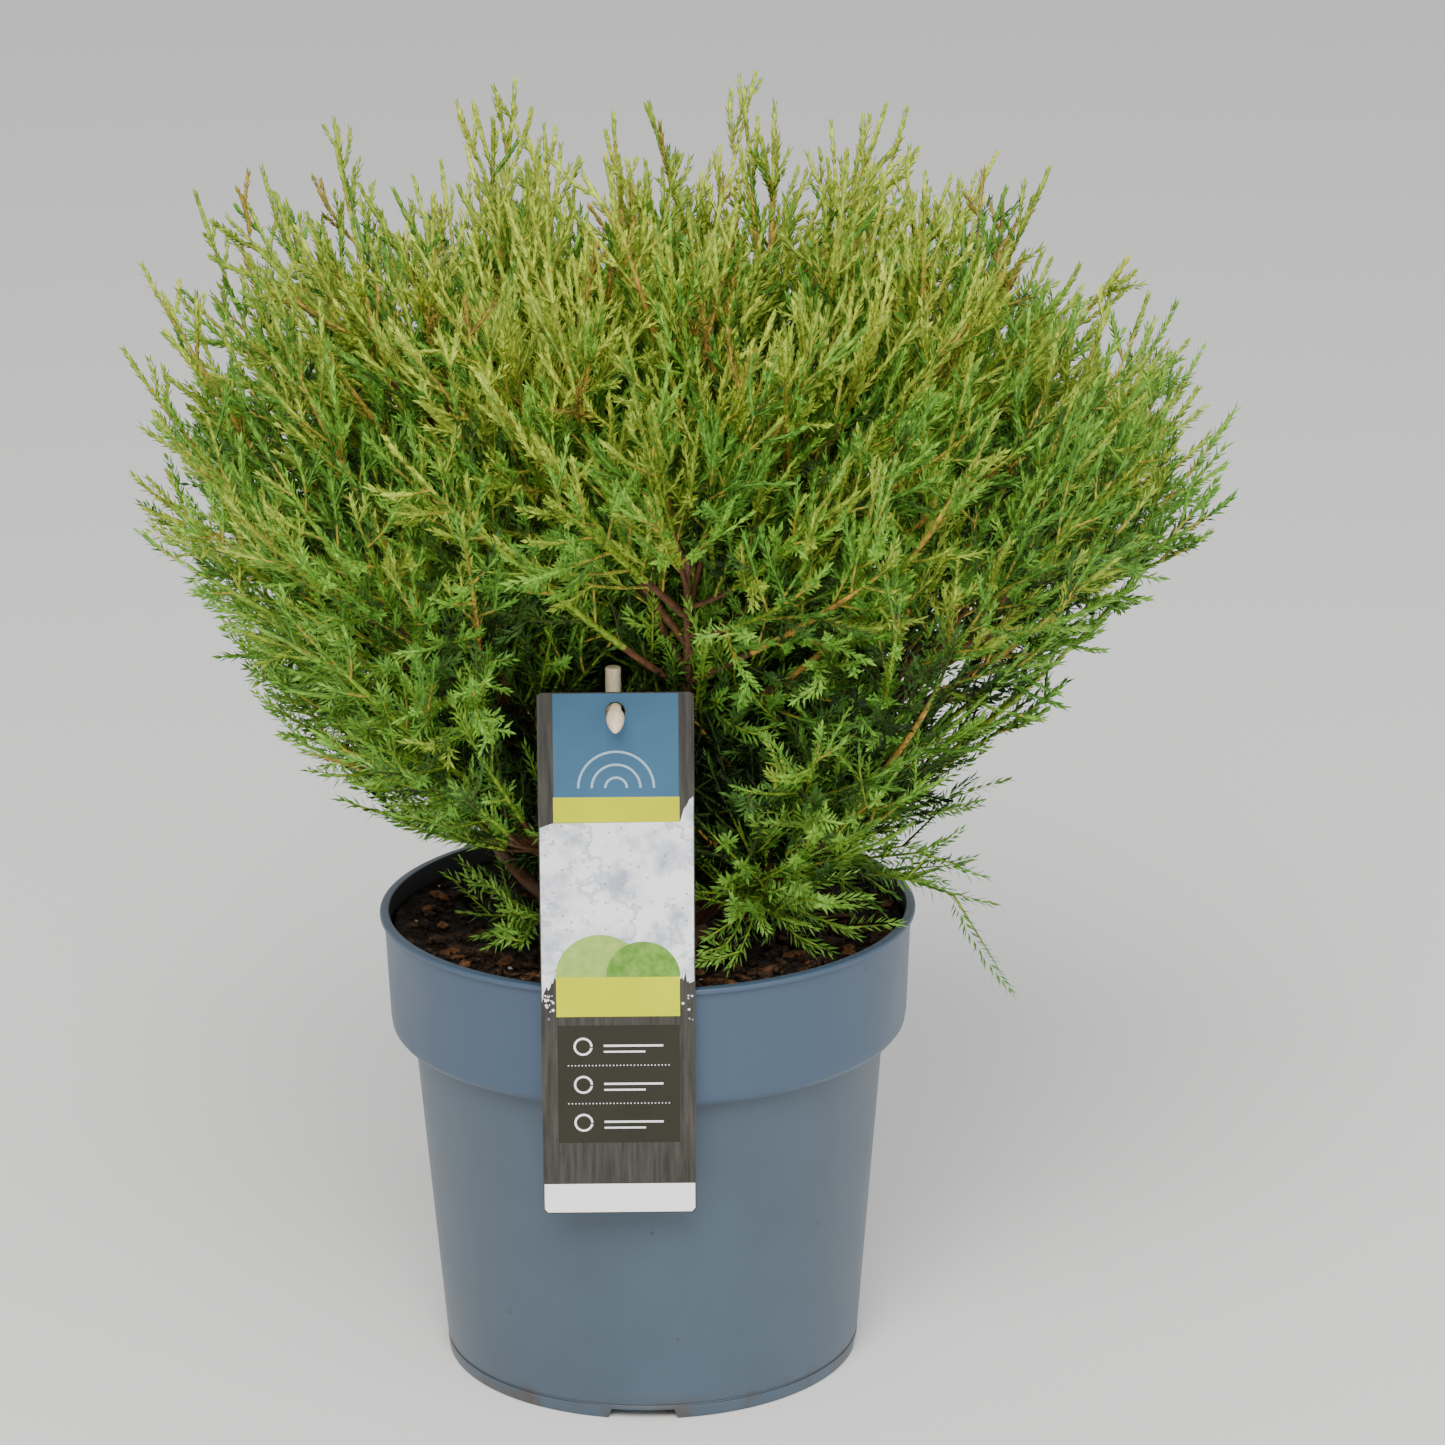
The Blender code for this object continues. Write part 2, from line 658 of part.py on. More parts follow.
def add_spray(parts, root, tip, mass, masses, limbs, rng):
    """Adds one spray unless it would leave the cell or touch a limb. True if it was added."""
    belly = root.lerp(tip, SPRAY_BELLY)
    if not way_allowed(root.lerp(tip, 0.1), belly, mass, masses, limbs, SPRAY_WIDTH / 2):
        return False
    if not way_allowed(belly, root.lerp(tip, 0.85), mass, masses, limbs, SPRAY_WIDTH / 3):
        return False
    if not allowed(tip, mass, masses, limbs, GAP):
        return False
    bm = bmesh.new()
    width = SPRAY_WIDTH * rng.uniform(*SPRAY_WIDTHS)
    spindle(bm, root, tip, width, SPRAY_THICKNESS, rng.uniform(-SPRAY_ROLL, SPRAY_ROLL))
    object_from("spray", bm, home=parts)
    return True


def spray_ends(foot, tip, mass, rng):
    """Roots and tips of a twig's sprays: one that goes on from its tip, and some at its sides."""
    heading = (tip - foot).normalized()
    across, above = side_frame(heading)
    outer = (tip - CROWN_ROOT).normalized()
    goal = (heading + outer + UP * mass["sweep"]).normalized()
    yield foot.lerp(tip, END_SPRAY_SHARE), tip + goal * SPRAY_LENGTH * rng.uniform(*SPRAY_SIZES)
    along_twig, outward, sideways = SIDE_SPRAY_LEAN
    for share, side in SIDE_SPRAYS:
        rise = rng.uniform(*SIDE_SPRAY_RISE) + mass["sweep"]
        lean = heading * along_twig + outer * outward + across * side * sideways + above * rise
        lean.normalize()
        root = foot.lerp(tip, share) - lean * TWIG_RADIUS
        yield root, root + lean * SPRAY_LENGTH * rng.uniform(*SPRAY_SIZES)


def make_mass(mass, masses, limbs, material):
    """Grows the mass and joins all of it with one Boolean union on a collection."""
    rng = random.Random(mass["seed"])
    parts = bpy.data.collections.new(mass["name"] + "_parts")
    bpy.context.scene.collection.children.link(parts)
    stem_foot, stem_tip, plans = twig_plan(mass, rng)
    bm = bmesh.new()
    cylinder(bm, stem_foot, stem_tip, STEM_RADIUS, STEM_RADIUS * TWIG_THINNING, STEM_SIDES)
    base = object_from("foliage_" + mass["name"], bm, material)
    if mass["core"]:
        object_from("core", core_mesh(mass, masses, limbs, rng), home=parts)
    else:
        end = CROWN_ROOT + mass["heading"] * mass["reach"]
        add_spray(parts, stem_foot.lerp(stem_tip, END_SPRAY_SHARE), end, mass, masses, limbs, rng)
    for foot, tip in plans:
        while (tip - foot).length > TWIG_SHORTEST:
            if allowed(tip, mass, masses, limbs, TWIG_RADIUS * 2):
                break
            tip = foot.lerp(tip, 0.9)
        if not way_allowed(foot, tip, mass, masses, limbs, TWIG_RADIUS):
            continue
        bm = bmesh.new()
        cylinder(bm, foot, tip, TWIG_RADIUS, TWIG_RADIUS * TWIG_THINNING, 3)
        object_from("twig", bm, home=parts)
        for root, end in spray_ends(foot, tip, mass, rng):
            for shrink in SPRAY_SHRINKS:
                if add_spray(parts, root, root.lerp(end, shrink), mass, masses, limbs, rng):
                    break
    union = base.modifiers.new("join", "BOOLEAN")
    union.operation = "UNION"
    union.operand_type = "COLLECTION"
    union.collection = parts
    union.solver = "EXACT"
    apply_modifiers(base)
    for part in list(parts.objects):
        bpy.data.objects.remove(part, do_unlink=True)
    bpy.data.collections.remove(parts)
    drop_scraps(base)


def drop_scraps(obj):
    """Keeps the largest shell: what the union sealed inside, or left loose, goes."""
    bm = bmesh.new()
    bm.from_mesh(obj.data)
    bmesh.ops.remove_doubles(bm, verts=bm.verts, dist=2e-6)
    bmesh.ops.triangulate(bm, faces=bm.faces)
    left = set(bm.faces)
    shells = []
    while left:
        shell, queue = set(), [next(iter(left))]
        while queue:
            face = queue.pop()
            if face in shell:
                continue
            shell.add(face)
            queue += [f for edge in face.edges for f in edge.link_faces if f not in shell]
        left -= shell
        shells.append(shell)
    keep = max(shells, key=len)
    loose = [face for shell in shells if shell is not keep for face in shell]
    bmesh.ops.delete(bm, geom=loose, context="FACES")
    bm.to_mesh(obj.data)
    bm.free()


# Card and peg


def card_hole_centre():
    down = Matrix.Rotation(CARD_TURN, 3, "Y") @ Vector((0, 0, -CARD_HOLE_DROP))
    return CARD_TOP + down


def make_card(material):
    bm = bmesh.new()
    made = bmesh.ops.create_cube(bm, size=1.0)["verts"]
    for v in made:
        v.co = Vector((v.co.x * CARD_WIDTH, v.co.y * CARD_THICKNESS, (v.co.z - 0.5) * CARD_HEIGHT))
    corners = [e for e in bm.edges if abs(e.verts[0].co.y - e.verts[1].co.y) > CARD_THICKNESS / 2]
    bmesh.ops.bevel(
        bm, geom=corners, offset=CARD_CORNER, segments=4, profile=0.5, affect="EDGES", material=-1
    )
    bmesh.ops.rotate(bm, verts=bm.verts, cent=(0, 0, 0), matrix=Matrix.Rotation(CARD_TURN, 3, "Y"))
    bmesh.ops.translate(bm, verts=bm.verts, vec=CARD_TOP)
    card = object_from("label_card", bm, material)
    cutter_mesh = bmesh.new()
    hole = card_hole_centre()
    through = Vector((0, CUT_PAST, 0))
    cylinder(cutter_mesh, hole - through, hole + through, CARD_HOLE_RADIUS, None, 16)
    cutter = object_from("card_hole_cutter", cutter_mesh)
    cutter.hide_render = True
    cutter.display_type = "WIRE"
    cut = card.modifiers.new("hole", "BOOLEAN")
    cut.operation = "DIFFERENCE"
    cut.object = cutter


def make_stick(material):
    """A round wooden stick with an egg-shaped peg through the card's hole, which hangs on the peg's neck."""
    bm = bmesh.new()
    cylinder(bm, STICK_FOOT, STICK_TOP, STICK_RADIUS, None, STICK_SIDES)
    stick = object_from("label_stick", bm, material, 40)
    hole = card_hole_centre()
    lean = PEG_LEAN.normalized()
    seat = hole + UP * (CARD_HOLE_RADIUS - PEG_NECK_RADIUS - GAP)
    share = (seat.z - STICK_FOOT.z) / (STICK_TOP.z - STICK_FOOT.z)
    root = STICK_FOOT.lerp(STICK_TOP, share)
    root.x = seat.x
    straight = seat - Vector((0, PEG_NECK_PAST_CARD, 0))
    bm = bmesh.new()
    cylinder(bm, root, straight, PEG_NECK_RADIUS, None, 8)
    neck = object_from("peg_neck", bm)
    bm = bmesh.new()
    egg = bmesh.ops.create_uvsphere(bm, u_segments=8, v_segments=6, radius=1.0)["verts"]
    turn = lean.to_track_quat("Z", "Y").to_matrix()
    centre = straight + lean * PEG_HEAD_LENGTH * (0.5 - PEG_HEAD_SUNK)
    for v in egg:
        wide = PEG_HEAD_RADIUS * (1.0 - PEG_HEAD_TAPER * v.co.z)
        v.co = centre + turn @ Vector((v.co.x * wide, v.co.y * wide, v.co.z * PEG_HEAD_LENGTH / 2))
    head = object_from("peg_head", bm)
    for other in (neck, head):
        join = stick.modifiers.new("peg", "BOOLEAN")
        join.operation = "UNION"
        join.object = other
    apply_modifiers(stick)
    for other in (neck, head):
        bpy.data.objects.remove(other, do_unlink=True)


def main():
    clear_scene()
    make_pot(plain_material("pot plastic", (0.13, 0.18, 0.25), 0.42))
    make_soil(plain_material("potting soil", (0.012, 0.009, 0.007), 0.95))
    bark = plain_material("red-brown bark", (0.16, 0.07, 0.035), 0.85)
    skin = make_trunk(bark)
    masses = plan_masses(skin)
    limbs = [(trunk_path(), trunk_radius)]
    for mass in masses:
        make_bough(mass, bark)
        scale = mass["scale"]
        limbs.append((mass["bough"], lambda share, scale=scale: bough_radius(share, scale)))
    for mass in masses:
        green = plain_material("foliage " + mass["name"], (0.10, 0.22, 0.035), 0.7)
        make_mass(mass, masses, limbs, green)
    make_card(plain_material("printed card", (0.42, 0.44, 0.42), 0.35))
    make_stick(plain_material("pale wood", (0.70, 0.52, 0.32), 0.6))


main()
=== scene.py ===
"""A round dwarf arborvitae in a round nursery pot, with a printed card hung on a wooden peg.

Laid out as an add-on and run as a script. Metres, +Z up, front at -Y.
"""

import math
import random

import bmesh
import bpy
import numpy as np
from bpy.props import FloatProperty, FloatVectorProperty, IntProperty, PointerProperty
from mathutils import Matrix, Vector, noise


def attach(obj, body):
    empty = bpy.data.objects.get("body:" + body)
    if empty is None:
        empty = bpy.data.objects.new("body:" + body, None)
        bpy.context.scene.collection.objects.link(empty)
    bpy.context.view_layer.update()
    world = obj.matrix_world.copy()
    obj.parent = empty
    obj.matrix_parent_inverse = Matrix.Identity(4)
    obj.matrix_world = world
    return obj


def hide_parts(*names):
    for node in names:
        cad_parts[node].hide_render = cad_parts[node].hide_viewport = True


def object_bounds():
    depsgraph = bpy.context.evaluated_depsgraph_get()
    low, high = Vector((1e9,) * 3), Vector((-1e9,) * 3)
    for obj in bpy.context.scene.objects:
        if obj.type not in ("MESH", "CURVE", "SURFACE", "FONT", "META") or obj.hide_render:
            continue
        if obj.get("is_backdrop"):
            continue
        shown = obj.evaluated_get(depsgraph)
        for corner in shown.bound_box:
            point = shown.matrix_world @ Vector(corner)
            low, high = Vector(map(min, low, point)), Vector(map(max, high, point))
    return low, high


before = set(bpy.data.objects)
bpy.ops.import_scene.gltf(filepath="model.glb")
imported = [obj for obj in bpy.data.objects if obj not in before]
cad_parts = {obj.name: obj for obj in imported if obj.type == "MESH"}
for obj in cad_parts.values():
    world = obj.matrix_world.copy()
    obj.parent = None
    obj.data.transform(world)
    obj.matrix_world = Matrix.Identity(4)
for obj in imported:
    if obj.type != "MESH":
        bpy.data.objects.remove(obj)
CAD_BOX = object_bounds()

bl_info = {
    "name": "Potted dwarf arborvitae",
    "version": (1, 0, 0),
    "blender": (4, 5, 0),
    "location": "3D View > Sidebar > Arborvitae",
    "description": "Builds a round dwarf arborvitae in a nursery pot, with its card and peg",
    "category": "Object",
}

GAP = 0.0003
UP = Vector((0, 0, 1))
GOLDEN_ANGLE = math.radians(137.508)

# Pot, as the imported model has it
POT_HEIGHT = 0.166
LIP_RADIUS = 0.095
LIP_DEPTH = 0.0024
LIP_OVERHANG = 0.0016
BAND_BOTTOM = 0.1222
BAND_BOTTOM_RADIUS = 0.0919
BODY_TOP_RADIUS = 0.0838
FOOT_RADIUS = 0.0744
FOOT_HEIGHT = 0.005
POT_WALL = 0.0017
POT_EDGE = 0.0005
BAND_ROUND = 0.0023
BAND_SHOULDER = 0.0058
FLOOR_THICKNESS = 0.002
FLOOR_RISE = 0.004
FLOOR_SLANT = 0.003
FLOOR_PAD_RADIUS = 0.047
NOTCHES = 4
NOTCH_FIRST_ANGLE = math.radians(267)
NOTCH_WIDTH = 0.026
NOTCH_HEIGHT = 0.0035
NOTCH_SLANT = 0.002
NOTCH_DEPTH = 0.012
CUT_PAST = 0.002
POT_STEPS = 160
GROOVE_DEPTH = 0.0006
GROOVE_HALF = 0.0006
POT_BEVEL = 0.0004
POT_BEVEL_ANGLE = math.radians(20)
POT_SPECKS = (0.05, 0.045, 0.035)
POT_DIRT = (0.07, 0.045, 0.025)

# Soil
SOIL_TOP = 0.152
SOIL_ROOM = 0.0045
RIM_ROOM = 0.0040
SOIL_RINGS = 46
SOIL_STEPS = 150
SOIL_LUMPS = ((28.0, 0.0022), (75.0, 0.0012), (210.0, 0.0007))
SOIL_FLAT_RADIUS = 0.020
SOIL_GLOSS = 0.12
SOIL_RISE = 0.0075
SOIL_RISE_FROM = 0.046
SOIL_RISE_OVER = 0.036
SOIL_DIP = 0.0006
CHIP_CORNERS = (0.72, 1.18)
CHIP_SUNK = 0.42
PLACED_CHIP_SUNK = 0.35
PLACED_CHIP_TILT = 0.1
CHIP_TILT = 0.6
RUST_CHIPS = 0.15
PALE_CRUMBS = 0.025
# The ranges of length, width and thickness
CHIP_SIZES = ((0.004, 0.012), (0.002, 0.0055), (0.0014, 0.0032))
CRUMB_SIZES = ((0.0010, 0.0034), (0.0008, 0.0022), (0.0008, 0.0018))
CHIP_LOOKS = {
    "dark": ("dark bark chips", (0.022, 0.012, 0.007), (0.085, 0.048, 0.027)),
    "rust": ("rust-brown bark chips", (0.085, 0.036, 0.016), (0.210, 0.100, 0.046)),
    "crumb": ("peat crumbs", (0.011, 0.007, 0.005), (0.042, 0.027, 0.017)),
    "pale": ("pale specks", (0.36, 0.34, 0.29), (0.58, 0.56, 0.50)),
}
# Chips of bark that the eye finds first: (x, y, length, width, thickness, turn, kind)
PLACED_CHIPS = (
    (-0.0590, -0.0210, 0.0150, 0.0120, 0.0042, 20, "dark"),
    (-0.0500, -0.0350, 0.0120, 0.0065, 0.0030, 75, "rust"),
    (-0.0390, -0.0560, 0.0140, 0.0030, 0.0022, 10, "rust"),
    (0.0100, -0.0620, 0.0130, 0.0060, 0.0030, 120, "dark"),
    (0.0420, -0.0480, 0.0110, 0.0050, 0.0026, 40, "rust"),
    (0.0630, -0.0180, 0.0140, 0.0080, 0.0034, 160, "dark"),
)

# Trunk, from its flat cut at the soil to its fork
TRUNK_FOOT = Vector((0.010, 0.002, SOIL_TOP + GAP))
TRUNK_FORK = Vector((0.0225, -0.002, 0.214))
TRUNK_RADII = ((0.0, 0.0125), (0.06, 0.0094), (0.18, 0.0075), (0.45, 0.0062), (0.8, 0.0052), (1.0, 0.0042))
FLARE_LOBES = 5
FLARE_LOBE_DEPTH = 0.22
FLARE_REACH = 0.25
TRUNK_BEND_HEIGHT = 0.034
TRUNK_POINTS = 9
TRUNK_MESH_POINTS = 40
TRUNK_SIDES = 36
TRUNK_RINGS = 56
BOUGH_SIDES = 14
BOUGH_RINGS = 30
BARK_RIDGES = (3.0, 60.0)
BARK_DEPTH = 0.13
FINE_RIDGES = (2.7, 0.5)
BARK_SEED_STEP = 3.7
BARK_GREY = (0.20, 0.15, 0.11)

# Crown: a flattened globe over a bowl that narrows to the pot, as (height, x of its axis, radius)
CROWN_TOP = 0.463
CROWN_BOTTOM = 0.180
CROWN_PROFILE = (
    (0.176, 0.012, 0.0), (0.180, 0.009, 0.042), (0.194, 0.007, 0.072), (0.214, 0.004, 0.110),
    (0.233, 0.004, 0.136), (0.252, 0.005, 0.154), (0.272, 0.007, 0.163), (0.291, 0.010, 0.174),
    (0.310, 0.014, 0.190), (0.329, 0.016, 0.202), (0.349, 0.016, 0.202), (0.368, 0.014, 0.194),
    (0.386, 0.009, 0.184), (0.406, 0.002, 0.174), (0.425, -0.005, 0.152), (0.441, -0.007, 0.122),
    (0.453, -0.007, 0.084), (0.460, -0.007, 0.042), (0.463, -0.007, 0.0),
)
CROWN_ROOT = Vector((0.014, 0.0, 0.172))
REACH_NEAREST = 0.02
REACH_FARTHEST = 0.40
REACH_HALVINGS = 18
CROWN_SEED = 11

# Masses in rings round CROWN_ROOT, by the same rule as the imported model. Angles are in degrees; foot and lift
# are shares of the trunk's and the bough's length; core is how far the stem goes, as a share of the reach;
# spread is how far the twigs fan out across and upwards; sweep turns the shoots up or down
RINGS = (
    dict(name="low", count=7, first=310, step=47, elevation=23, start=0.050, foot=0.24, lift=-0.02,
         core=0.70, twigs=17, spread=(0.50, 0.30), sweep=-0.10),
    dict(name="middle", count=8, first=0, step=45, elevation=42, start=0.090, foot=0.52, lift=-0.13,
         core=0.68, twigs=18, spread=(0.38, 0.27), sweep=0.20),
    dict(name="upper", count=6, first=0, step=60, elevation=64, start=0.100, foot=0.78, lift=-0.06,
         core=0.66, twigs=19, spread=(0.36, 0.32), sweep=0.25),
    dict(name="top", count=1, first=90, step=0, elevation=88, start=0.106, foot=1.0, lift=0.0,
         core=0.66, twigs=18, spread=(0.28, 0.28), sweep=0.30),
)
# Open sprays near the soil
SOIL_SPRAYS = (
    dict(name="soil_left", look="young_sprays",
         azimuth=203, elevation=-6, start=0.046, reach=0.080, twigs=2),
    dict(name="soil_right", look="young_sprays",
         azimuth=303, elevation=14, start=0.032, reach=0.076, twigs=6),
    dict(name="rim_right", look="green_sprays",
         azimuth=338, elevation=23, start=0.040, reach=0.080, twigs=9),
)
SOIL_SPRAY_GROWTH = dict(lift=0.0, core=0.80, spread=(0.36, 0.20), sweep=0.05)
SOIL_BOUGH_FOOT = 0.10
# A low stem that leaves the trunk's foot to the left, bare as far as the crown: its foot, bend and tip
SIDE_STEM = (Vector((0.003, -0.008, 0.158)), Vector((-0.038, -0.030, 0.166)), Vector((-0.060, -0.038, 0.214)))
SIDE_STEM_RADII = (0.0031, 0.0025, 0.0015)
SIDE_STEM_SHARES = (0, 0.6, 1)
SIDE_STEM_POINTS = 12
SIDE_STEM_SEED = 0.5
BOUGH_FOOT_STAGGER = 0.10
BOUGH_LOWEST = 0.008
BOUGH_STRAIGHT_END = 0.004
BOUGH_FOOT_SUNK = 0.2
BOUGH_POINTS = 8
STEM_POINTS = 5
BOUGH_FOOT_RADIUS = 0.0027
BOUGH_TIP_RADIUS = 0.0017
STEM_TIP_RADIUS = 0.0009
SOIL_BOUGH_THINNING = 0.62
CARD_LIFT = 9
CARD_LIFT_WITHIN = 25

# Twigs on the stem, shoots on the twigs and shoots on those
TWIG_FEET = (0.05, 0.95)
TWIG_TURN_SHAKE = 0.3
TWIG_SWAY = 0.035
TWIG_SWEEP = 0.35
TWIG_RADII = (0.00142, 0.00082)
TWIG_BROWN_SHARE = 0.32
TWIG_AMBER_SHARE = 0.60
AMBER_TWIGS = 0.34
TWIG_TIP_SHORT = (0.006, 0.026)
TWIG_TIP_LENGTHS = (0.018, 0.036)
TWIG_TIP_RISE = 0.1
TWIG_TIP_GAIN = 1.04
# How far a twig and its shoots may go, as shares of the crown's reach; a few stand out of the rest
TWIG_LIMITS = dict(low=(0.78, 0.97), middle=(0.85, 0.96), upper=(0.83, 0.93), top=(0.77, 0.87))
LONG_TWIG_LIMITS = (0.94, 1.0)
LONG_TWIG_SHARES = dict(low=0.22, middle=0.22, upper=0.13, top=0.12)
INNER_TWIGS = 15
INNER_TWIG_LENGTHS = (0.030, 0.062)
# Where shoots stand on what bears them, how long they are there, how they lean and rise, and what youth adds
SHOOT = dict(shares=(0.16, 0.97), lengths=(0.050, 0.020), leans=(20, 40), rise=0.12, young_gain=0.0)
SIDE_SHOOT = dict(shares=(0.14, 0.86), lengths=(0.0145, 0.0070), leans=(24, 44), rise=0.08, young_gain=0.9)
SHOOT_TURN_SHAKE = 0.55
SHOOT_LENGTH_SHAKE = (0.75, 1.2)
SHOOTS_FEWEST = 4
STEM_RADII = (0.00060, 0.00042)
THREAD_RADII = (0.00064, 0.00066)
THREAD_SWELLING = (1.0, 0.88, 1.22, 1.0)
THREAD_START = 0.50
FORK_SHARE = 0.14
FORK_GAIN = 1.45
YOUNG_LEAN = 13
YOUNG_SPACING = 1.2
SIDE_SHOOT_SPACING = 0.0070
SIDE_SHOOTS_FROM = 0.006
SIDE_SHOOTS_MOST = 7
SIDE_SHOOTS_DEEPEST = 0.42
# Low on the plant's right the crown is open: fewer shoots, longer ones, and darker
OPEN_SIDE = (0.045, 0.095)
OPEN_HEIGHT = (0.335, 0.270)
OPEN_TWIGS_LOST = 0.58
OPEN_THINNING = 0.66
OPEN_GAIN = 0.65
OPEN_YOUTH = 0.50
OPEN_SHADE = 0.03
TOP_THINNING = 0.45
TOP_THINNED_FROM = 0.85
# Upright twigs in front, as (count, and the ranges of their tips across, ahead and up)
FRONT_TWIGS = (
    (40, (-0.085, 0.095), (-0.086, -0.052), (0.205, 0.318)),
    (42, (-0.014, 0.050), (-0.092, -0.060), (0.262, 0.314)),
    (26, (-0.040, 0.030), (-0.088, -0.066), (0.266, 0.306)),
    (24, (0.022, 0.078), (-0.088, -0.058), (0.200, 0.264)),
)
FRONT_TWIG_LIGHT = 0.38
FRONT_MASSES_FROM = -0.35
FRONT_FEET = (0.25, 0.9, 14)
# What is tried, in turn, for a line that isn't clear, and the shares of it that are tested
SHRINKS = (1.0, 0.78, 0.56)
CLEAR_SHARES = (0.25, 0.5, 0.75, 1.0)

# Youth, from 0 for pressed scales to 1 for needles, and the light that chooses a spray's colour
YOUTH_AT_FOOT = 1.18
YOUTH_LOST_BY_HEIGHT = 1.25
YOUTH_BY_DEPTH = 0.3
YOUTH_SPREAD = 0.12
ADULT_BELOW = 0.75
LIGHT_AT_FOOT = 0.39
LIGHT_BY_HEIGHT = 0.57
LIGHT_LOST_BY_DEPTH = 1.9
LIGHT_DEPTH = 0.15
LIGHT_SPREAD = 0.07
MOOD_SPREAD = 0.10
LIGHT_LEVELS = (0.14, 0.38, 0.60)
# Lime needs less light higher up, and yellower sprays grow more likely there
LIME_LIGHT = (1.06, 0.22)
YELLOW_SPRAYS = (1.5, 0.35)
# The share of young sprays, below this height and over this light, and of bronze ones, above this height and
# within this depth
YOUNG_SPRAYS = 0.55
YOUNG_WITHIN = (0.45, 0.40)
BRONZE_SPRAYS = 0.05
BRONZE_WITHIN = (0.72, 0.20)

# Leaves: pressed scales on adult shoots, spreading needles on juvenile ones. Each pair is (adult, juvenile)
LEAF_WIDEST = 0.42
LEAF_LEANS = (14, 48)
LEAF_STEPS = (0.00185, 0.00165)
LEAF_BASES = (0.00046, 0.00034)
LEAF_FOLD = (0.30, 0.14)
LEAF_SIZE_SHAKE = 0.18
LEAF_CLOSING = 0.62
SPARSE_STEP = 1.55
SPARSE_GAIN = 1.25
LEAF_GLOSS = 0.25
LEAF_DEEPER = (0.52, 0.65, 0.70)
LEAF_BRIGHTER = 1.32
LEAF_TURN_SHAKE = 0.25
LEAF_TURN_STEP = 1.7
LEAF_PIECE = 90000

# Leaf colours, from the sunlit top to the shaded inside, where the darker colours are painted shade; a spray
# has one colour
LEAF_COLOURS = (
    ("lime_sprays", (0.475, 0.540, 0.062)),
    ("olive_sprays", (0.325, 0.410, 0.047)),
    ("fresh_sprays", (0.220, 0.405, 0.046)),
    ("green_sprays", (0.126, 0.278, 0.032)),
    ("deep_sprays", (0.047, 0.116, 0.015)),
    ("shaded_sprays", (0.009, 0.026, 0.004)),
    ("young_sprays", (0.222, 0.415, 0.056)),
    ("bronze_sprays", (0.310, 0.225, 0.038)),
)
LEAF_INDEX = {name: i for i, (name, _) in enumerate(LEAF_COLOURS)}
# The colour of a spray's shaded base, for each leaf colour in turn
DARKER = np.array([1, 3, 3, 4, 5, 5, 3, 7])
DARKER_BASES = 0.70
DARKER_SIDES = 0.25

# Card and peg
CARD_WIDTH = 0.052
CARD_HEIGHT = 0.1847
CARD_THICKNESS = 0.0007
CARD_TOP = Vector((-0.0099, -LIP_RADIUS - GAP - CARD_THICKNESS / 2, 0.2714))
CARD_TURN = math.radians(0.24)
CARD_CORNER = 0.0018
CARD_HOLE_RADIUS = 0.0031
CARD_HOLE_DROP = 0.0066
INK_GLOSS = 0.15
INK_ROUGHNESS = 0.38
PRINT_STEP = 0.00006
PRINT_HALF = 0.0256
PANEL_HALF = 0.0208
HILL_FOOT = 0.0995
CRACK_WIDTH = 0.018
CARD_ROOM = 0.008
CARD_VIEW_RISE = 0.36
STICK_RADIUS = 0.00265
STICK_TOP = Vector((-0.0106, -0.0820, 0.2762))
STICK_FOOT = Vector((-0.0112, -0.0740, 0.0900))
STICK_ROOM = 0.0050
STICK_EDGE = 0.0004
STICK_VIEW_RISE = 0.62
PEG_NECK_RADIUS = 0.0020
PEG_NECK_PAST_CARD = 0.0035
PEG_HEAD_RADIUS = 0.0029
PEG_HEAD_LENGTH = 0.0107
PEG_HEAD_TAPER = 0.28
PEG_HEAD_SUNK = 0.10
PEG_LEAN = Vector((0, -0.88, -0.47))

# Camera: fitted to the pot's rim, band and foot in a frame of 1445 x 1445
FRAME_SIDE = 1445
FOCAL_PIXELS = 4927.15
SENSOR_WIDTH = 36
CAMERA_DISTANCE = 1.6591
CAMERA_HEIGHT = 0.72446
CAMERA_PITCH = 0.28844
CAMERA_YAW = 0.01629
CAMERA_ROLL = -0.00757
LIGHT_TARGET = (0, 0, 0.25)
LIGHT_SIZE = 1.6
KEY_PLACE, KEY_COLOUR = (-0.25, -2.05, 2.3), (1.0, 0.985, 0.96)
FILL_PLACE, FILL_COLOUR = (1.8, -1.6, 1.2), (0.95, 0.98, 1.0)
FLOOR_RADIUS = 6.0
FLOOR_DROP = 0.0002


# Settings that a user would change


def length_setting(name, description, default):
    return FloatProperty(
        name=name, description=description, default=default, unit="LENGTH", min=0.0, precision=5
    )


def colour_setting(name, description, default):
    return FloatVectorProperty(
        name=name, description=description, default=default, subtype="COLOR", size=3, min=0.0, max=1.0
    )


class PotSettings(bpy.types.PropertyGroup):
    height: length_setting("Height", "Height of the pot", POT_HEIGHT)
    # The body's colour is greyer than the band's: partly dust and partly painted sheen
    colour: colour_setting("Colour", "Slate-blue plastic of the pot", (0.055, 0.084, 0.117))
    band: colour_setting("Band", "Bluer plastic of the band", (0.045, 0.078, 0.128))
    # The inner wall's near-black is black plastic, and partly painted shade inside the pot
    inside: colour_setting("Inside", "Black plastic of the pot's inner wall", (0.010, 0.010, 0.010))


class SoilSettings(bpy.types.PropertyGroup):
    chips: IntProperty(name="Chips", description="Chips of bark on the soil", default=400, min=0)
    crumbs: IntProperty(name="Crumbs", description="Crumbs of peat on the soil", default=1300, min=0)
    colour: colour_setting("Colour", "Moist potting soil", (0.017, 0.011, 0.007))


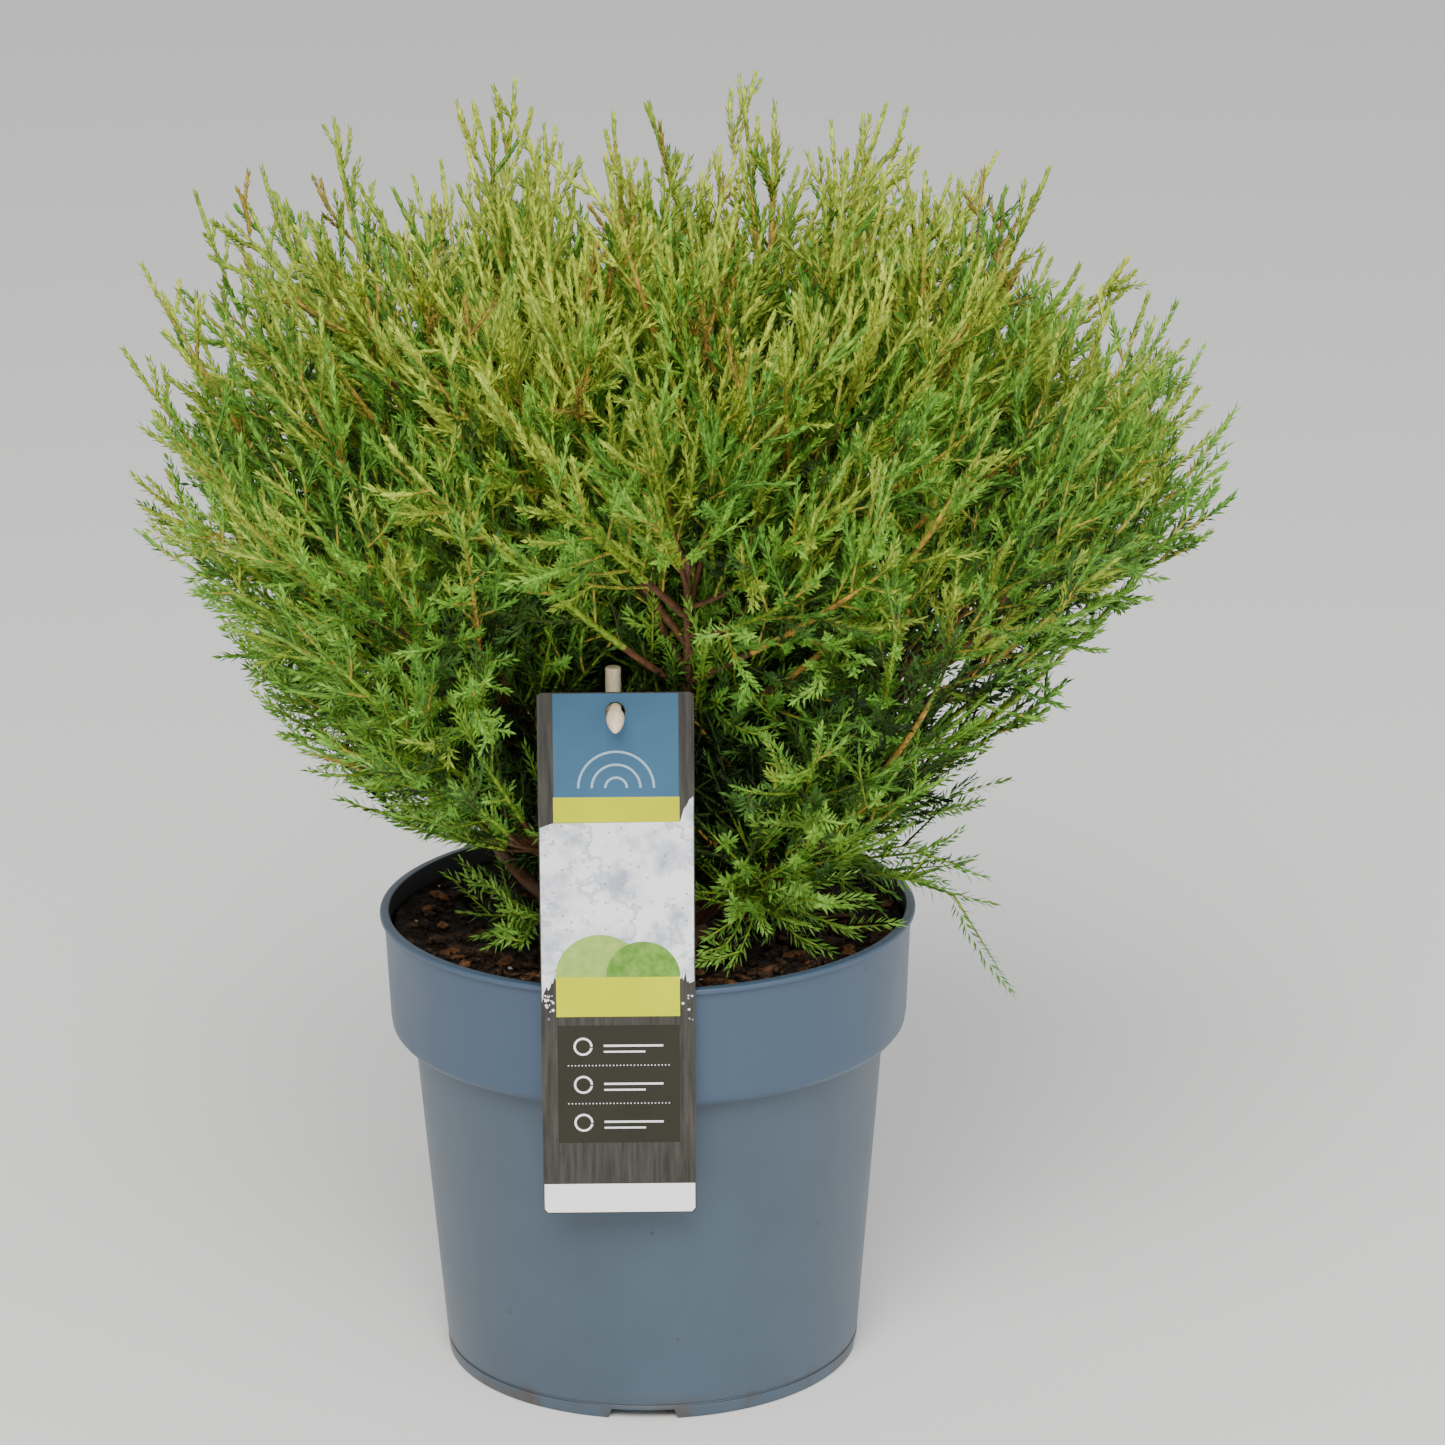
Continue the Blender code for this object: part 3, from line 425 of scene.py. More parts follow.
class CrownSettings(bpy.types.PropertyGroup):
    scale_length: length_setting("Scale leaf", "Length of an adult scale leaf", 0.0033)
    scale_width: length_setting("Scale width", "Width of an adult scale leaf", 0.00140)
    needle_length: length_setting("Needle", "Length of a juvenile needle", 0.0050)
    needle_width: length_setting("Needle width", "Width of a juvenile needle", 0.00108)
    shoots: IntProperty(name="Shoots", description="Shoots on each 10 cm of a twig", default=11, min=2)
    bark: colour_setting("Bark", "Red-brown bark of trunk and boughs", (0.130, 0.052, 0.021))
    amber: colour_setting("Amber twigs", "Twigs of last year", (0.500, 0.265, 0.050))
    golden: colour_setting("Golden stems", "Stems of the older shoots", (0.380, 0.300, 0.042))
    stem: colour_setting("Green stems", "Yellow-green stems of this year's shoots", (0.240, 0.340, 0.030))


class CardSettings(bpy.types.PropertyGroup):
    width: length_setting("Width", "Width of the card", CARD_WIDTH)
    height: length_setting("Height", "Height of the card", CARD_HEIGHT)
    blue: colour_setting("Blue", "Blue panel", (0.050, 0.128, 0.215))
    lime: colour_setting("Lime", "Lime bands", (0.600, 0.640, 0.000))
    olive: colour_setting("Olive", "Dark olive panel", (0.031, 0.030, 0.020))
    wood: colour_setting("Wood", "Pale wood of stick and peg", (0.990, 0.800, 0.540))


class StageSettings(bpy.types.PropertyGroup):
    floor: colour_setting("Floor", "Plain pale floor", (0.80, 0.80, 0.79))
    world: FloatProperty(name="World", description="Strength of the white world", default=0.75, min=0.0)
    key: FloatProperty(name="Key light", description="Power of the key light", default=105.0, unit="POWER")
    fill: FloatProperty(name="Fill light", description="Power of the fill light", default=16.0, unit="POWER")


# Meshes and objects


def show(obj, slot, *nodes):
    """Ties the piece to the plant's only body and hides the nodes it stands for. The slot is not used."""
    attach(obj, "root")
    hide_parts(*nodes)


def linked(name, data):
    obj = bpy.data.objects.new(name, data)
    bpy.context.scene.collection.objects.link(obj)
    return obj


def object_from(name, bm, materials=(), smooth_angle=None):
    mesh = bpy.data.meshes.new(name)
    bm.to_mesh(mesh)
    bm.free()
    for material in materials:
        mesh.materials.append(material)
    if smooth_angle is not None:
        mesh.shade_smooth()
        mesh.set_sharp_from_angle(angle=math.radians(smooth_angle))
    return linked(name, mesh)


def object_from_arrays(name, points, triangles, material):
    """A joined mesh of many small triangles."""
    mesh = bpy.data.meshes.new(name)
    mesh.vertices.add(len(points))
    mesh.vertices.foreach_set("co", points.astype(np.float32).ravel())
    mesh.loops.add(triangles.size)
    mesh.loops.foreach_set("vertex_index", triangles.astype(np.int32).ravel())
    mesh.polygons.add(len(triangles))
    mesh.polygons.foreach_set("loop_start", np.arange(0, triangles.size, 3, dtype=np.int32))
    mesh.update(calc_edges=True)
    mesh.materials.append(material)
    return linked(name, mesh)


def cut_with(obj, cutter):
    cut = obj.modifiers.new("cut", "BOOLEAN")
    cut.operation = "DIFFERENCE"
    cut.object = cutter
    graph = bpy.context.evaluated_depsgraph_get()
    evaluated = bpy.data.meshes.new_from_object(obj.evaluated_get(graph))
    obj.modifiers.clear()
    obj.data = evaluated
    bpy.data.objects.remove(cutter, do_unlink=True)


def turned(bm, profile, steps):
    """Spins a profile of (radius, height) about the Z axis; its two ends lie on the axis."""
    verts = [bm.verts.new((r, 0, z)) for r, z in profile]
    edges = [bm.edges.new(pair) for pair in zip(verts, verts[1:])]
    bmesh.ops.spin(
        bm, geom=verts + edges, cent=(0, 0, 0), axis=(0, 0, 1), angle=2 * math.pi, steps=steps,
        use_merge=True, use_duplicate=False,
    )
    bmesh.ops.remove_doubles(bm, verts=bm.verts, dist=1e-6)
    bmesh.ops.recalc_face_normals(bm, faces=bm.faces)


def cylinder(bm, start, end, radius, sides):
    axis = end - start
    place = Matrix.Translation((start + end) / 2) @ axis.to_track_quat("Z", "Y").to_matrix().to_4x4()
    bmesh.ops.create_cone(
        bm, cap_ends=True, segments=sides, radius1=radius, radius2=radius, depth=axis.length, matrix=place,
    )


def rounded(bm, edges, offset, segments):
    bmesh.ops.bevel(
        bm, geom=edges, offset=offset, segments=segments, profile=0.5, affect="EDGES", clamp_overlap=True,
        material=-1,
    )


# Shader nodes and groups


def fill(tree, node, inputs):
    """Sets each named input of a node to a value, or feeds it from a socket."""
    for name, value in inputs.items():
        if isinstance(value, bpy.types.NodeSocket):
            tree.links.new(value, node.inputs[name])
        else:
            node.inputs[name].default_value = value


def add_node(tree, kind, inputs, **settings):
    """Adds a shader node and gives its outputs."""
    node = tree.nodes.new("ShaderNode" + kind)
    for name, value in settings.items():
        setattr(node, name, value)
    fill(tree, node, inputs)
    return node.outputs


def add_math(tree, operation, *values):
    return add_node(tree, "Math", dict(enumerate(values)), operation=operation)["Value"]


def new_group(name, inputs, outputs):
    """A node group. Each input is given its default, a tuple for a colour and None for a vector, and each
    output its kind.
    """
    group = bpy.data.node_groups.new(name, "ShaderNodeTree")
    for label, default in inputs.items():
        kind = "Vector" if default is None else "Color" if isinstance(default, tuple) else "Float"
        socket = group.interface.new_socket(name=label, in_out="INPUT", socket_type="NodeSocket" + kind)
        if default is not None:
            socket.default_value = default
    for label, kind in outputs.items():
        group.interface.new_socket(name=label, in_out="OUTPUT", socket_type="NodeSocket" + kind)
    return group, group.nodes.new("NodeGroupInput").outputs, group.nodes.new("NodeGroupOutput")


def mottle_group():
    """Cloudy change between two colours, with a fine height."""
    group, given, end = new_group(
        "mottle",
        {
            "Vector": None, "Colour": (0.5, 0.5, 0.5, 1), "Second Colour": (0.4, 0.4, 0.4, 1), "Scale": 50.0,
            "Low": 0.35, "High": 0.65,
        },
        {"Colour": "Color", "Mask": "Float", "Height": "Float"},
    )
    cloud = add_node(group, "TexNoise", {
        "Vector": given["Vector"], "Scale": given["Scale"], "Detail": 6.0, "Roughness": 0.6,
    })["Fac"]
    level = add_node(group, "MapRange", {
        "Value": cloud, "From Min": given["Low"], "From Max": given["High"],
    })["Result"]
    mix = add_node(group, "Mix", {
        "Factor": level, "A": given["Colour"], "B": given["Second Colour"],
    }, data_type="RGBA")["Result"]
    fill(group, end, {"Colour": mix, "Mask": level, "Height": cloud})
    return group


def specks_group():
    """Scattered dots: a mask that is 1 in each dot."""
    group, given, end = new_group(
        "specks", {"Vector": None, "Scale": 200.0, "Size": 0.2, "Share": 0.1}, {"Mask": "Float"}
    )
    cells = add_node(group, "TexVoronoi", {"Vector": given["Vector"], "Scale": given["Scale"]})
    chance = add_node(group, "SeparateColor", {"Color": cells["Color"]})["Red"]
    near = add_math(group, "LESS_THAN", cells["Distance"], given["Size"])
    chosen = add_math(group, "LESS_THAN", chance, given["Share"])
    fill(group, end, {"Mask": add_math(group, "MULTIPLY", near, chosen)})
    return group


GROUPS = {"mottle": mottle_group, "specks": specks_group}


def add_group(tree, name, inputs):
    """Adds the named group, which is built on first use, and gives its outputs."""
    group = bpy.data.node_groups.get(name) or GROUPS[name]()
    return add_node(tree, "Group", inputs, node_tree=group)


def mottle(tree, where, scale, low=0.35, high=0.65, colours=None):
    """Adds a mottle, between two colours where they are given."""
    inputs = {"Vector": where, "Scale": scale, "Low": low, "High": high}
    if colours:
        inputs["Colour"], inputs["Second Colour"] = ((*colour, 1.0) for colour in colours)
    return add_group(tree, "mottle", inputs)


def coordinates(tree, stretch=(1, 1, 1), kind="Object"):
    place = add_node(tree, "TexCoord", {})[kind]
    return add_node(tree, "Mapping", {"Vector": place, "Scale": stretch})["Vector"]


def tinted(tree, colour, mask, tint, share=1.0):
    """A colour socket taken towards a tint by a share of a mask."""
    if share < 1.0:
        mask = add_math(tree, "MULTIPLY", mask, share)
    inputs = {"Factor": mask, "A": colour, "B": (*tint, 1.0)}
    return add_node(tree, "Mix", inputs, data_type="RGBA")["Result"]


def ranged(tree, value, low, high, to_low, to_high):
    inputs = {"Value": value, "From Min": low, "From Max": high, "To Min": to_low, "To Max": to_high}
    return add_node(tree, "MapRange", inputs)["Result"]


def bumped(tree, shader, height, distance):
    normal = add_node(tree, "Bump", {"Height": height, "Distance": distance, "Strength": 1.0})["Normal"]
    fill(tree, shader, {"Normal": normal})


def shade(colour, factor):
    return tuple(min(1.0, c * factor) for c in colour)


# Materials


def new_material(name, colour, roughness, gloss=0.5):
    material = bpy.data.materials.new(name)
    material.use_nodes = True
    tree = material.node_tree
    shader = tree.nodes["Principled BSDF"]
    fill(tree, shader, {"Base Color": (*colour, 1.0), "Roughness": roughness, "Specular IOR Level": gloss})
    return material, tree, shader


def mottled_material(name, colour, roughness, gloss, pair, scale, levels, stretch=(1, 1, 1)):
    """A material whose colour clouds between a pair of colours."""
    material, tree, shader = new_material(name, colour, roughness, gloss)
    cloud = mottle(tree, coordinates(tree, stretch), scale, *levels, pair)
    fill(tree, shader, {"Base Color": cloud["Colour"]})
    return material, tree, shader, cloud


def pot_material(colour, band):
    """Satin slate-blue plastic, bluer on the band, with specks and a brown rim of dirt above the foot. The body
    is greyer than the band, partly from dust and partly from painted sheen.
    """
    material, tree, shader = new_material("slate-blue plastic", colour, 0.42)
    where = coordinates(tree)
    cloud = mottle(tree, where, 22.0, 0.3, 0.7, (shade(colour, 0.90), shade(colour, 1.12)))
    dots = add_group(tree, "specks", {"Vector": where, "Scale": 120.0, "Size": 0.10, "Share": 0.05})
    dirt = mottle(tree, where, 55.0, 0.48, 0.66)
    grain = mottle(tree, where, 900.0, 0.3, 0.7)
    height = add_node(tree, "SeparateXYZ", {"Vector": where})["Z"]
    on_band = ranged(tree, height, BAND_BOTTOM - 0.001, BAND_BOTTOM + 0.001, 0.0, 1.0)
    at_foot = ranged(tree, height, FOOT_HEIGHT + 0.004, FOOT_HEIGHT - 0.0005, 0.0, 1.0)
    # The band's bluer colour over the body's greyer one, which is partly dust and partly painted sheen
    look = tinted(tree, cloud["Colour"], on_band, band)
    look = tinted(tree, look, dots["Mask"], POT_SPECKS, 0.7)
    look = tinted(tree, look, add_math(tree, "MULTIPLY", at_foot, dirt["Mask"]), POT_DIRT, 0.8)
    fill(tree, shader, {"Base Color": look, "Roughness": ranged(tree, cloud["Mask"], 0, 1, 0.36, 0.50)})
    bumped(tree, shader, grain["Height"], 0.00006)
    return material


def soil_material(name, colour, second, scale, relief):
    material, tree, shader, cloud = mottled_material(
        name, colour, 0.92, SOIL_GLOSS, (colour, second), scale, (0.42, 0.68)
    )
    fill(tree, shader, {"Roughness": ranged(tree, cloud["Mask"], 0, 1, 0.95, 0.70)})
    bumped(tree, shader, cloud["Height"], relief)
    return material


def bark_material(colour):
    """Thin fibrous bark: strips that run along the limb, grey-brown over red-brown."""
    material, tree, shader = new_material("red-brown bark", colour, 0.85)
    along_limb = coordinates(tree, (14.0, 60.0, 1.0), "UV")
    strips = mottle(tree, along_limb, 1.0, 0.36, 0.62, (shade(colour, 0.55), shade(colour, 1.5)))
    grey = mottle(tree, coordinates(tree), 90.0, 0.52, 0.66)
    fill(tree, shader, {"Base Color": tinted(tree, strips["Colour"], grey["Mask"], BARK_GREY, 0.45)})
    bumped(tree, shader, strips["Height"], 0.0006)
    return material


def leaf_material(name, colour, roughness=0.55):
    """A plain leaf colour, with only a fine change from leaf to leaf."""
    deeper = tuple(channel * share for channel, share in zip(colour, LEAF_DEEPER))
    pair = (deeper, shade(colour, LEAF_BRIGHTER))
    return mottled_material(name, colour, roughness, LEAF_GLOSS, pair, 330.0, (0.38, 0.62))[0]


def ink(name, colour, second=None, scale=60.0):
    """A printed colour with the faint unevenness of ink."""
    pair = (colour, second or shade(colour, 0.90))
    return mottled_material(name, colour, INK_ROUGHNESS, INK_GLOSS, pair, scale, (0.35, 0.65))[0]


def planks_material():
    """Weathered dark planks: grain that runs down the card."""
    pair = ((0.012, 0.010, 0.007), (0.056, 0.051, 0.040))
    return mottled_material(
        "printed planks", (0.07, 0.055, 0.04), INK_ROUGHNESS, 0.5, pair, 1.0, (0.34, 0.70), (600.0, 1.0, 45.0)
    )[0]


def plaster_material():
    """Printed pale plaster with grey veins, cracks and dark flecks."""
    material, tree, shader, veins = mottled_material(
        "printed plaster", (0.62, 0.65, 0.72), INK_ROUGHNESS, INK_GLOSS,
        ((0.92, 0.92, 0.95), (0.40, 0.43, 0.51)), 85.0, (0.46, 0.68),
    )
    where = coordinates(tree)
    flecks = add_group(tree, "specks", {"Vector": where, "Scale": 700.0, "Size": 0.28, "Share": 0.10})
    cracks = add_math(tree, "COMPARE", mottle(tree, where, 45.0)["Height"], 0.5, CRACK_WIDTH)
    look = tinted(tree, veins["Colour"], flecks["Mask"], (0.10, 0.10, 0.10), 0.6)
    fill(tree, shader, {"Base Color": tinted(tree, look, cracks, (0.46, 0.49, 0.55), 0.70)})
    return material


def wood_material(colour):
    """Pale wood with its grain along the stick."""
    pair = (shade(colour, 1.05), shade(colour, 0.72))
    material, tree, shader, grain = mottled_material(
        "pale wood", colour, 0.55, 0.5, pair, 1.0, (0.38, 0.68), (900.0, 900.0, 60.0)
    )
    bumped(tree, shader, grain["Height"], 0.0001)
    return material


# Pot


def inner_radius(z):
    slope = (BODY_TOP_RADIUS - FOOT_RADIUS) / (BAND_BOTTOM - FOOT_HEIGHT)
    return FOOT_RADIUS + slope * (z - FOOT_HEIGHT) - POT_WALL


def pot_profile():
    band_top = POT_HEIGHT - LIP_DEPTH
    band_top_radius = LIP_RADIUS - LIP_OVERHANG
    floor = FLOOR_RISE + FLOOR_THICKNESS
    return (
        (0, 0),
        (FLOOR_PAD_RADIUS, 0),
        (FLOOR_PAD_RADIUS + FLOOR_SLANT, FLOOR_RISE),
        (FOOT_RADIUS - POT_WALL - 2 * POT_EDGE, FLOOR_RISE),
        (FOOT_RADIUS - POT_WALL - POT_EDGE, 0),
        (FOOT_RADIUS - POT_EDGE, 0),
        (FOOT_RADIUS, FOOT_HEIGHT - GROOVE_HALF),
        (FOOT_RADIUS - GROOVE_DEPTH, FOOT_HEIGHT),
        (FOOT_RADIUS, FOOT_HEIGHT + GROOVE_HALF),
        (BODY_TOP_RADIUS, BAND_BOTTOM - POT_EDGE),
        (BAND_BOTTOM_RADIUS - BAND_ROUND, BAND_BOTTOM),
        (BAND_BOTTOM_RADIUS - POT_EDGE, BAND_BOTTOM + BAND_ROUND),
        (BAND_BOTTOM_RADIUS, BAND_BOTTOM + BAND_SHOULDER),
        (band_top_radius, band_top),
        (LIP_RADIUS, band_top + POT_EDGE),
        (LIP_RADIUS, POT_HEIGHT - POT_EDGE),
        (LIP_RADIUS - POT_EDGE, POT_HEIGHT),
        (band_top_radius - POT_WALL, POT_HEIGHT),
        (BAND_BOTTOM_RADIUS - POT_WALL, BAND_BOTTOM + BAND_SHOULDER),
        (BODY_TOP_RADIUS - POT_WALL, BAND_BOTTOM),
        (inner_radius(floor), floor),
        (FLOOR_PAD_RADIUS + FLOOR_SLANT, floor),
        (FLOOR_PAD_RADIUS, FLOOR_THICKNESS),
        (0, FLOOR_THICKNESS),
    )


class AddPot(bpy.types.Operator):
    """Adds the pot: a turned shell with rounded edges, a groove above the foot and four low notches"""

    bl_idname = "arborvitae.add_pot"
    bl_label = "Add pot"

    def execute(self, context):
        settings = context.scene.pot_settings
        bm = bmesh.new()
        turned(bm, pot_profile(), POT_STEPS)
        rings = [
            e for e in bm.edges
            if abs(e.verts[0].co.z - e.verts[1].co.z) < 1e-6 and e.is_manifold
            and abs(e.verts[0].co.xy.length - e.verts[1].co.xy.length) < 1e-6
            and e.calc_face_angle() > POT_BEVEL_ANGLE
        ]
        rounded(bm, rings, POT_BEVEL, 3)
        # The inner wall and floor get the near-black inside colour: black plastic, partly painted shade
        for face in bm.faces:
            middle = face.calc_center_median()
            out = Vector((middle.x, middle.y, 0))
            inward = out.length > 1e-6 and face.normal.dot(out.normalized()) < -0.2
            wall = inward and middle.z > FLOOR_RISE + FLOOR_THICKNESS / 2
            floor = face.normal.z > 0.5 and middle.z < BAND_BOTTOM
            face.material_index = int(wall or floor)
        outside = pot_material(tuple(settings.colour), tuple(settings.band))
        inside = new_material("black plastic and painted shade", tuple(settings.inside), 0.5)[0]
        pot = object_from("pot_shell", bm, (outside, inside), 40)
        cutter = bmesh.new()
        for i in range(NOTCHES):
            angle = NOTCH_FIRST_ANGLE + i * 2 * math.pi / NOTCHES
            made = bmesh.ops.create_cube(cutter, size=1.0)["verts"]
            for v in made:
                half = NOTCH_WIDTH / 2 - (NOTCH_SLANT if v.co.z > 0 else 0)
                height = NOTCH_HEIGHT if v.co.z > 0 else -CUT_PAST
                v.co = Vector((FOOT_RADIUS + v.co.x * NOTCH_DEPTH, math.copysign(half, v.co.y), height))
            bmesh.ops.rotate(cutter, verts=made, cent=(0, 0, 0), matrix=Matrix.Rotation(angle, 3, "Z"))
        bmesh.ops.recalc_face_normals(cutter, faces=cutter.faces)
        cut_with(pot, object_from("notches", cutter))
        show(pot, "pot_plastic", "pot")
        return {"FINISHED"}


# Soil


def ramp(value, start, over):
    """0 at the start, rising evenly to 1 over this much, and level outside."""
    return np.clip((value - start) / over, 0, 1)


def soil_rise(radius):
    """How much higher the soil lies towards the pot's wall."""
    return SOIL_RISE * ramp(radius, SOIL_RISE_FROM, SOIL_RISE_OVER)


def soil_height(x, y):
    """Height of the lumpy soil; it lies flat round the trunk and rises to the pot's wall."""
    lumps = sum(noise.noise(Vector((x, y, 0.3)) * scale) * depth for scale, depth in SOIL_LUMPS)
    near = min(1.0, math.hypot(x - TRUNK_FOOT.x, y - TRUNK_FOOT.y) / SOIL_FLAT_RADIUS)
    return SOIL_TOP + float(soil_rise(math.hypot(x, y))) + lumps * near**2 - SOIL_DIP * (1 - near)


def add_chip(bm, x, y, size, turn, tilt, sunk, rng):
    """A flat lump with uneven corners, half sunk in the soil."""
    length, width, thickness = size
    place = (
        Matrix.Translation((x, y, soil_height(x, y) + thickness * sunk))
        @ Matrix.Rotation(turn, 4, "Z") @ Matrix.Rotation(tilt, 4, "X")
        @ Matrix.Diagonal((length / 2, width / 2, thickness / 2, 1))
    )
    for v in bmesh.ops.create_icosphere(bm, subdivisions=1, radius=1.0)["verts"]:
        v.co = place @ (v.co * rng.uniform(*CHIP_CORNERS))


class AddSoil(bpy.types.Operator):
    """Adds the potting soil, with its bark chips, crumbs and pale specks"""

    bl_idname = "arborvitae.add_soil"
    bl_label = "Add soil"

    def execute(self, context):
        settings = context.scene.soil_settings
        floor = FLOOR_RISE + FLOOR_THICKNESS + GAP
        edge = BAND_BOTTOM_RADIUS - POT_WALL - GAP
        side = [
            (0, FLOOR_THICKNESS + GAP),
            (FLOOR_PAD_RADIUS - GAP, FLOOR_THICKNESS + GAP),
            (FLOOR_PAD_RADIUS + FLOOR_SLANT, floor),
            (inner_radius(floor) - 2 * GAP, floor),
            (BODY_TOP_RADIUS - POT_WALL - 2 * GAP, BAND_BOTTOM + GAP),
            (BAND_BOTTOM_RADIUS - POT_WALL - 2 * GAP, BAND_BOTTOM + BAND_SHOULDER),
        ]
        top = [(edge * (1 - i / SOIL_RINGS), SOIL_TOP) for i in range(SOIL_RINGS + 1)]
        bm = bmesh.new()
        turned(bm, side + top, SOIL_STEPS)
        for v in bm.verts:
            if v.co.z > SOIL_TOP - GAP:
                v.co.z = soil_height(v.co.x, v.co.y)
        colour = tuple(settings.colour)
        bed = soil_material("potting soil", shade(colour, 0.7), shade(colour, 2.2), 260.0, 0.0012)
        show(object_from("soil_bed", bm, (bed,), 60), "potting_soil", "soil")
        meshes = {kind: bmesh.new() for kind in CHIP_LOOKS}
        rng = random.Random(7)
        for x, y, *size, turn, kind in PLACED_CHIPS:
            turn = math.radians(turn)
            add_chip(meshes[kind], x, y, size, turn, PLACED_CHIP_TILT, PLACED_CHIP_SUNK, rng)
        for i in range(settings.chips + settings.crumbs):
            radius = (edge - 0.003) * math.sqrt(rng.random())
            angle = rng.uniform(0, 2 * math.pi)
            x, y = radius * math.cos(angle), radius * math.sin(angle)
            if i < settings.chips:
                kind = "rust" if rng.random() < RUST_CHIPS else "dark"
                size = [rng.uniform(*span) for span in CHIP_SIZES]
            else:
                kind = "pale" if rng.random() < PALE_CRUMBS else "crumb"
                size = [rng.uniform(*span) for span in CRUMB_SIZES]
            turn, tilt = rng.uniform(0, math.pi), rng.uniform(-CHIP_TILT, CHIP_TILT)
            add_chip(meshes[kind], x, y, size, turn, tilt, CHIP_SUNK, rng)
        for kind, (label, colour, second) in CHIP_LOOKS.items():
            material = soil_material(label, colour, second, 500.0, 0.0003)
            piece = object_from(label.replace(" ", "_").replace("-", "_"), meshes[kind], (material,))
            show(piece, "potting_soil", "soil")
        return {"FINISHED"}


# Limbs


def along(path, share):
    """The point at this share of a polyline's length, and the polyline's direction there."""
    lengths = [(b - a).length for a, b in zip(path, path[1:])]
    left = share * sum(lengths)
    for i, length in enumerate(lengths):
        if left <= length or i == len(lengths) - 1:
            step = (path[i + 1] - path[i]).normalized()
            return path[i] + step * min(left, length), step
        left -= length


def bend(start, middle, end, count):
    """Points along the curve that leaves start towards middle and ends at end."""
    shares = [i / (count - 1) for i in range(count)]
    return [start * (1 - t) ** 2 + middle * 2 * t * (1 - t) + end * t**2 for t in shares]


def direction(azimuth, elevation):
    """The unit vector at these angles in degrees: azimuth 0 is +X, 270 is the front."""
    a, e = math.radians(azimuth), math.radians(elevation)
    return Vector((math.cos(a) * math.cos(e), math.sin(a) * math.cos(e), math.sin(e)))


def side_frame(axis):
    """Two unit vectors across an axis, the second as near to +Z as can be."""
    across = axis.cross(UP)
    if across.length < 1e-4:
        across = Vector((1, 0, 0))
    across.normalize()
    return across, across.cross(axis).normalized()


def trunk_path(points):
    return bend(TRUNK_FOOT, TRUNK_FOOT + UP * TRUNK_BEND_HEIGHT, TRUNK_FORK, points)


def trunk_radius(share):
    for (a, r_a), (b, r_b) in zip(TRUNK_RADII, TRUNK_RADII[1:]):
        if share <= b:
            return r_a + (r_b - r_a) * (share - a) / (b - a)
    return TRUNK_RADII[-1][1]


def flare_depth(share):
    """How far the root flare's lobes stand out, as a share of the trunk's radius."""
    return FLARE_LOBE_DEPTH * max(0.0, 1 - share / FLARE_REACH)


def in_crown(points):
    x, y, z = points[..., 0], points[..., 1], points[..., 2]
    heights, axis, radius = np.array(CROWN_PROFILE).T
    return np.hypot(x - np.interp(z, heights, axis), y) < np.interp(z, heights, radius)


def crown_reach(headings):
    """How far the crown goes from CROWN_ROOT along each heading of an array."""
    headings = np.atleast_2d(headings)
    root = np.array(CROWN_ROOT)
    near = np.full(len(headings), REACH_NEAREST)
    far = np.full(len(headings), REACH_FARTHEST)
    for _ in range(REACH_HALVINGS):
        half = (near + far) / 2
        inside = in_crown(root + headings * half[:, None])
        near = np.where(inside, half, near)
        far = np.where(inside, far, half)
    return near


def bough_path(mass):
    """From the trunk's axis, out and up to where the bough enters its mass, with a short straight end."""
    share = mass["foot"]
    foot, leaving = along(trunk_path(TRUNK_POINTS), share)
    tip = CROWN_ROOT + mass["heading"] * mass["start"]
    end = tip - mass["heading"] * BOUGH_STRAIGHT_END
    if share < 1:
        leaving = Vector((mass["heading"].x, mass["heading"].y, 0)).normalized()
    start = foot + leaving * trunk_radius(share)
    middle = start.lerp(end, 0.5)
    if share < 1:
        middle += (UP - leaving) * (end - start).length * mass["lift"]
        middle.z = max(middle.z, SOIL_TOP + BOUGH_LOWEST)
    return [foot + (start - foot) * BOUGH_FOOT_SUNK] + bend(start, middle, end, BOUGH_POINTS) + [tip]


def plan_masses():
    """Each mass as a plain record: where it lies, what its bough is, and how it grows."""
    masses = []
    for ring in RINGS:
        for i in range(ring["count"]):
            azimuth = (ring["first"] + i * ring["step"]) % 360
            over_card = ring["name"] == "middle" and abs(azimuth - 270) < CARD_LIFT_WITHIN
            heading = direction(azimuth, ring["elevation"] + CARD_LIFT * over_card)
            masses.append(dict(
                ring,
                name=ring["name"] if ring["count"] == 1 else f"{ring['name']}_{i + 1}",
                heading=heading,
                reach=float(crown_reach(np.array(heading))[0]),
                foot=ring["foot"] + BOUGH_FOOT_STAGGER * (i % 2),
                scale=1.0,
                look="",
            ))
    for spray in SOIL_SPRAYS:
        masses.append(dict(
            SOIL_SPRAY_GROWTH,
            **{key: spray[key] for key in ("name", "start", "reach", "twigs", "look")},
            heading=direction(spray["azimuth"], spray["elevation"]),
            foot=SOIL_BOUGH_FOOT,
            scale=SOIL_BOUGH_THINNING,
        ))
    for number, mass in enumerate(masses):
        mass["seed"] = number + 1
        mass["bough"] = bough_path(mass)
        mass["stem_tip"] = CROWN_ROOT + mass["heading"] * mass["reach"] * mass["core"]
    return masses


def tapering(shares, radii):
    """The radius at each share of a limb's length, as a function."""
    return lambda share: float(np.interp(share, shares, radii))


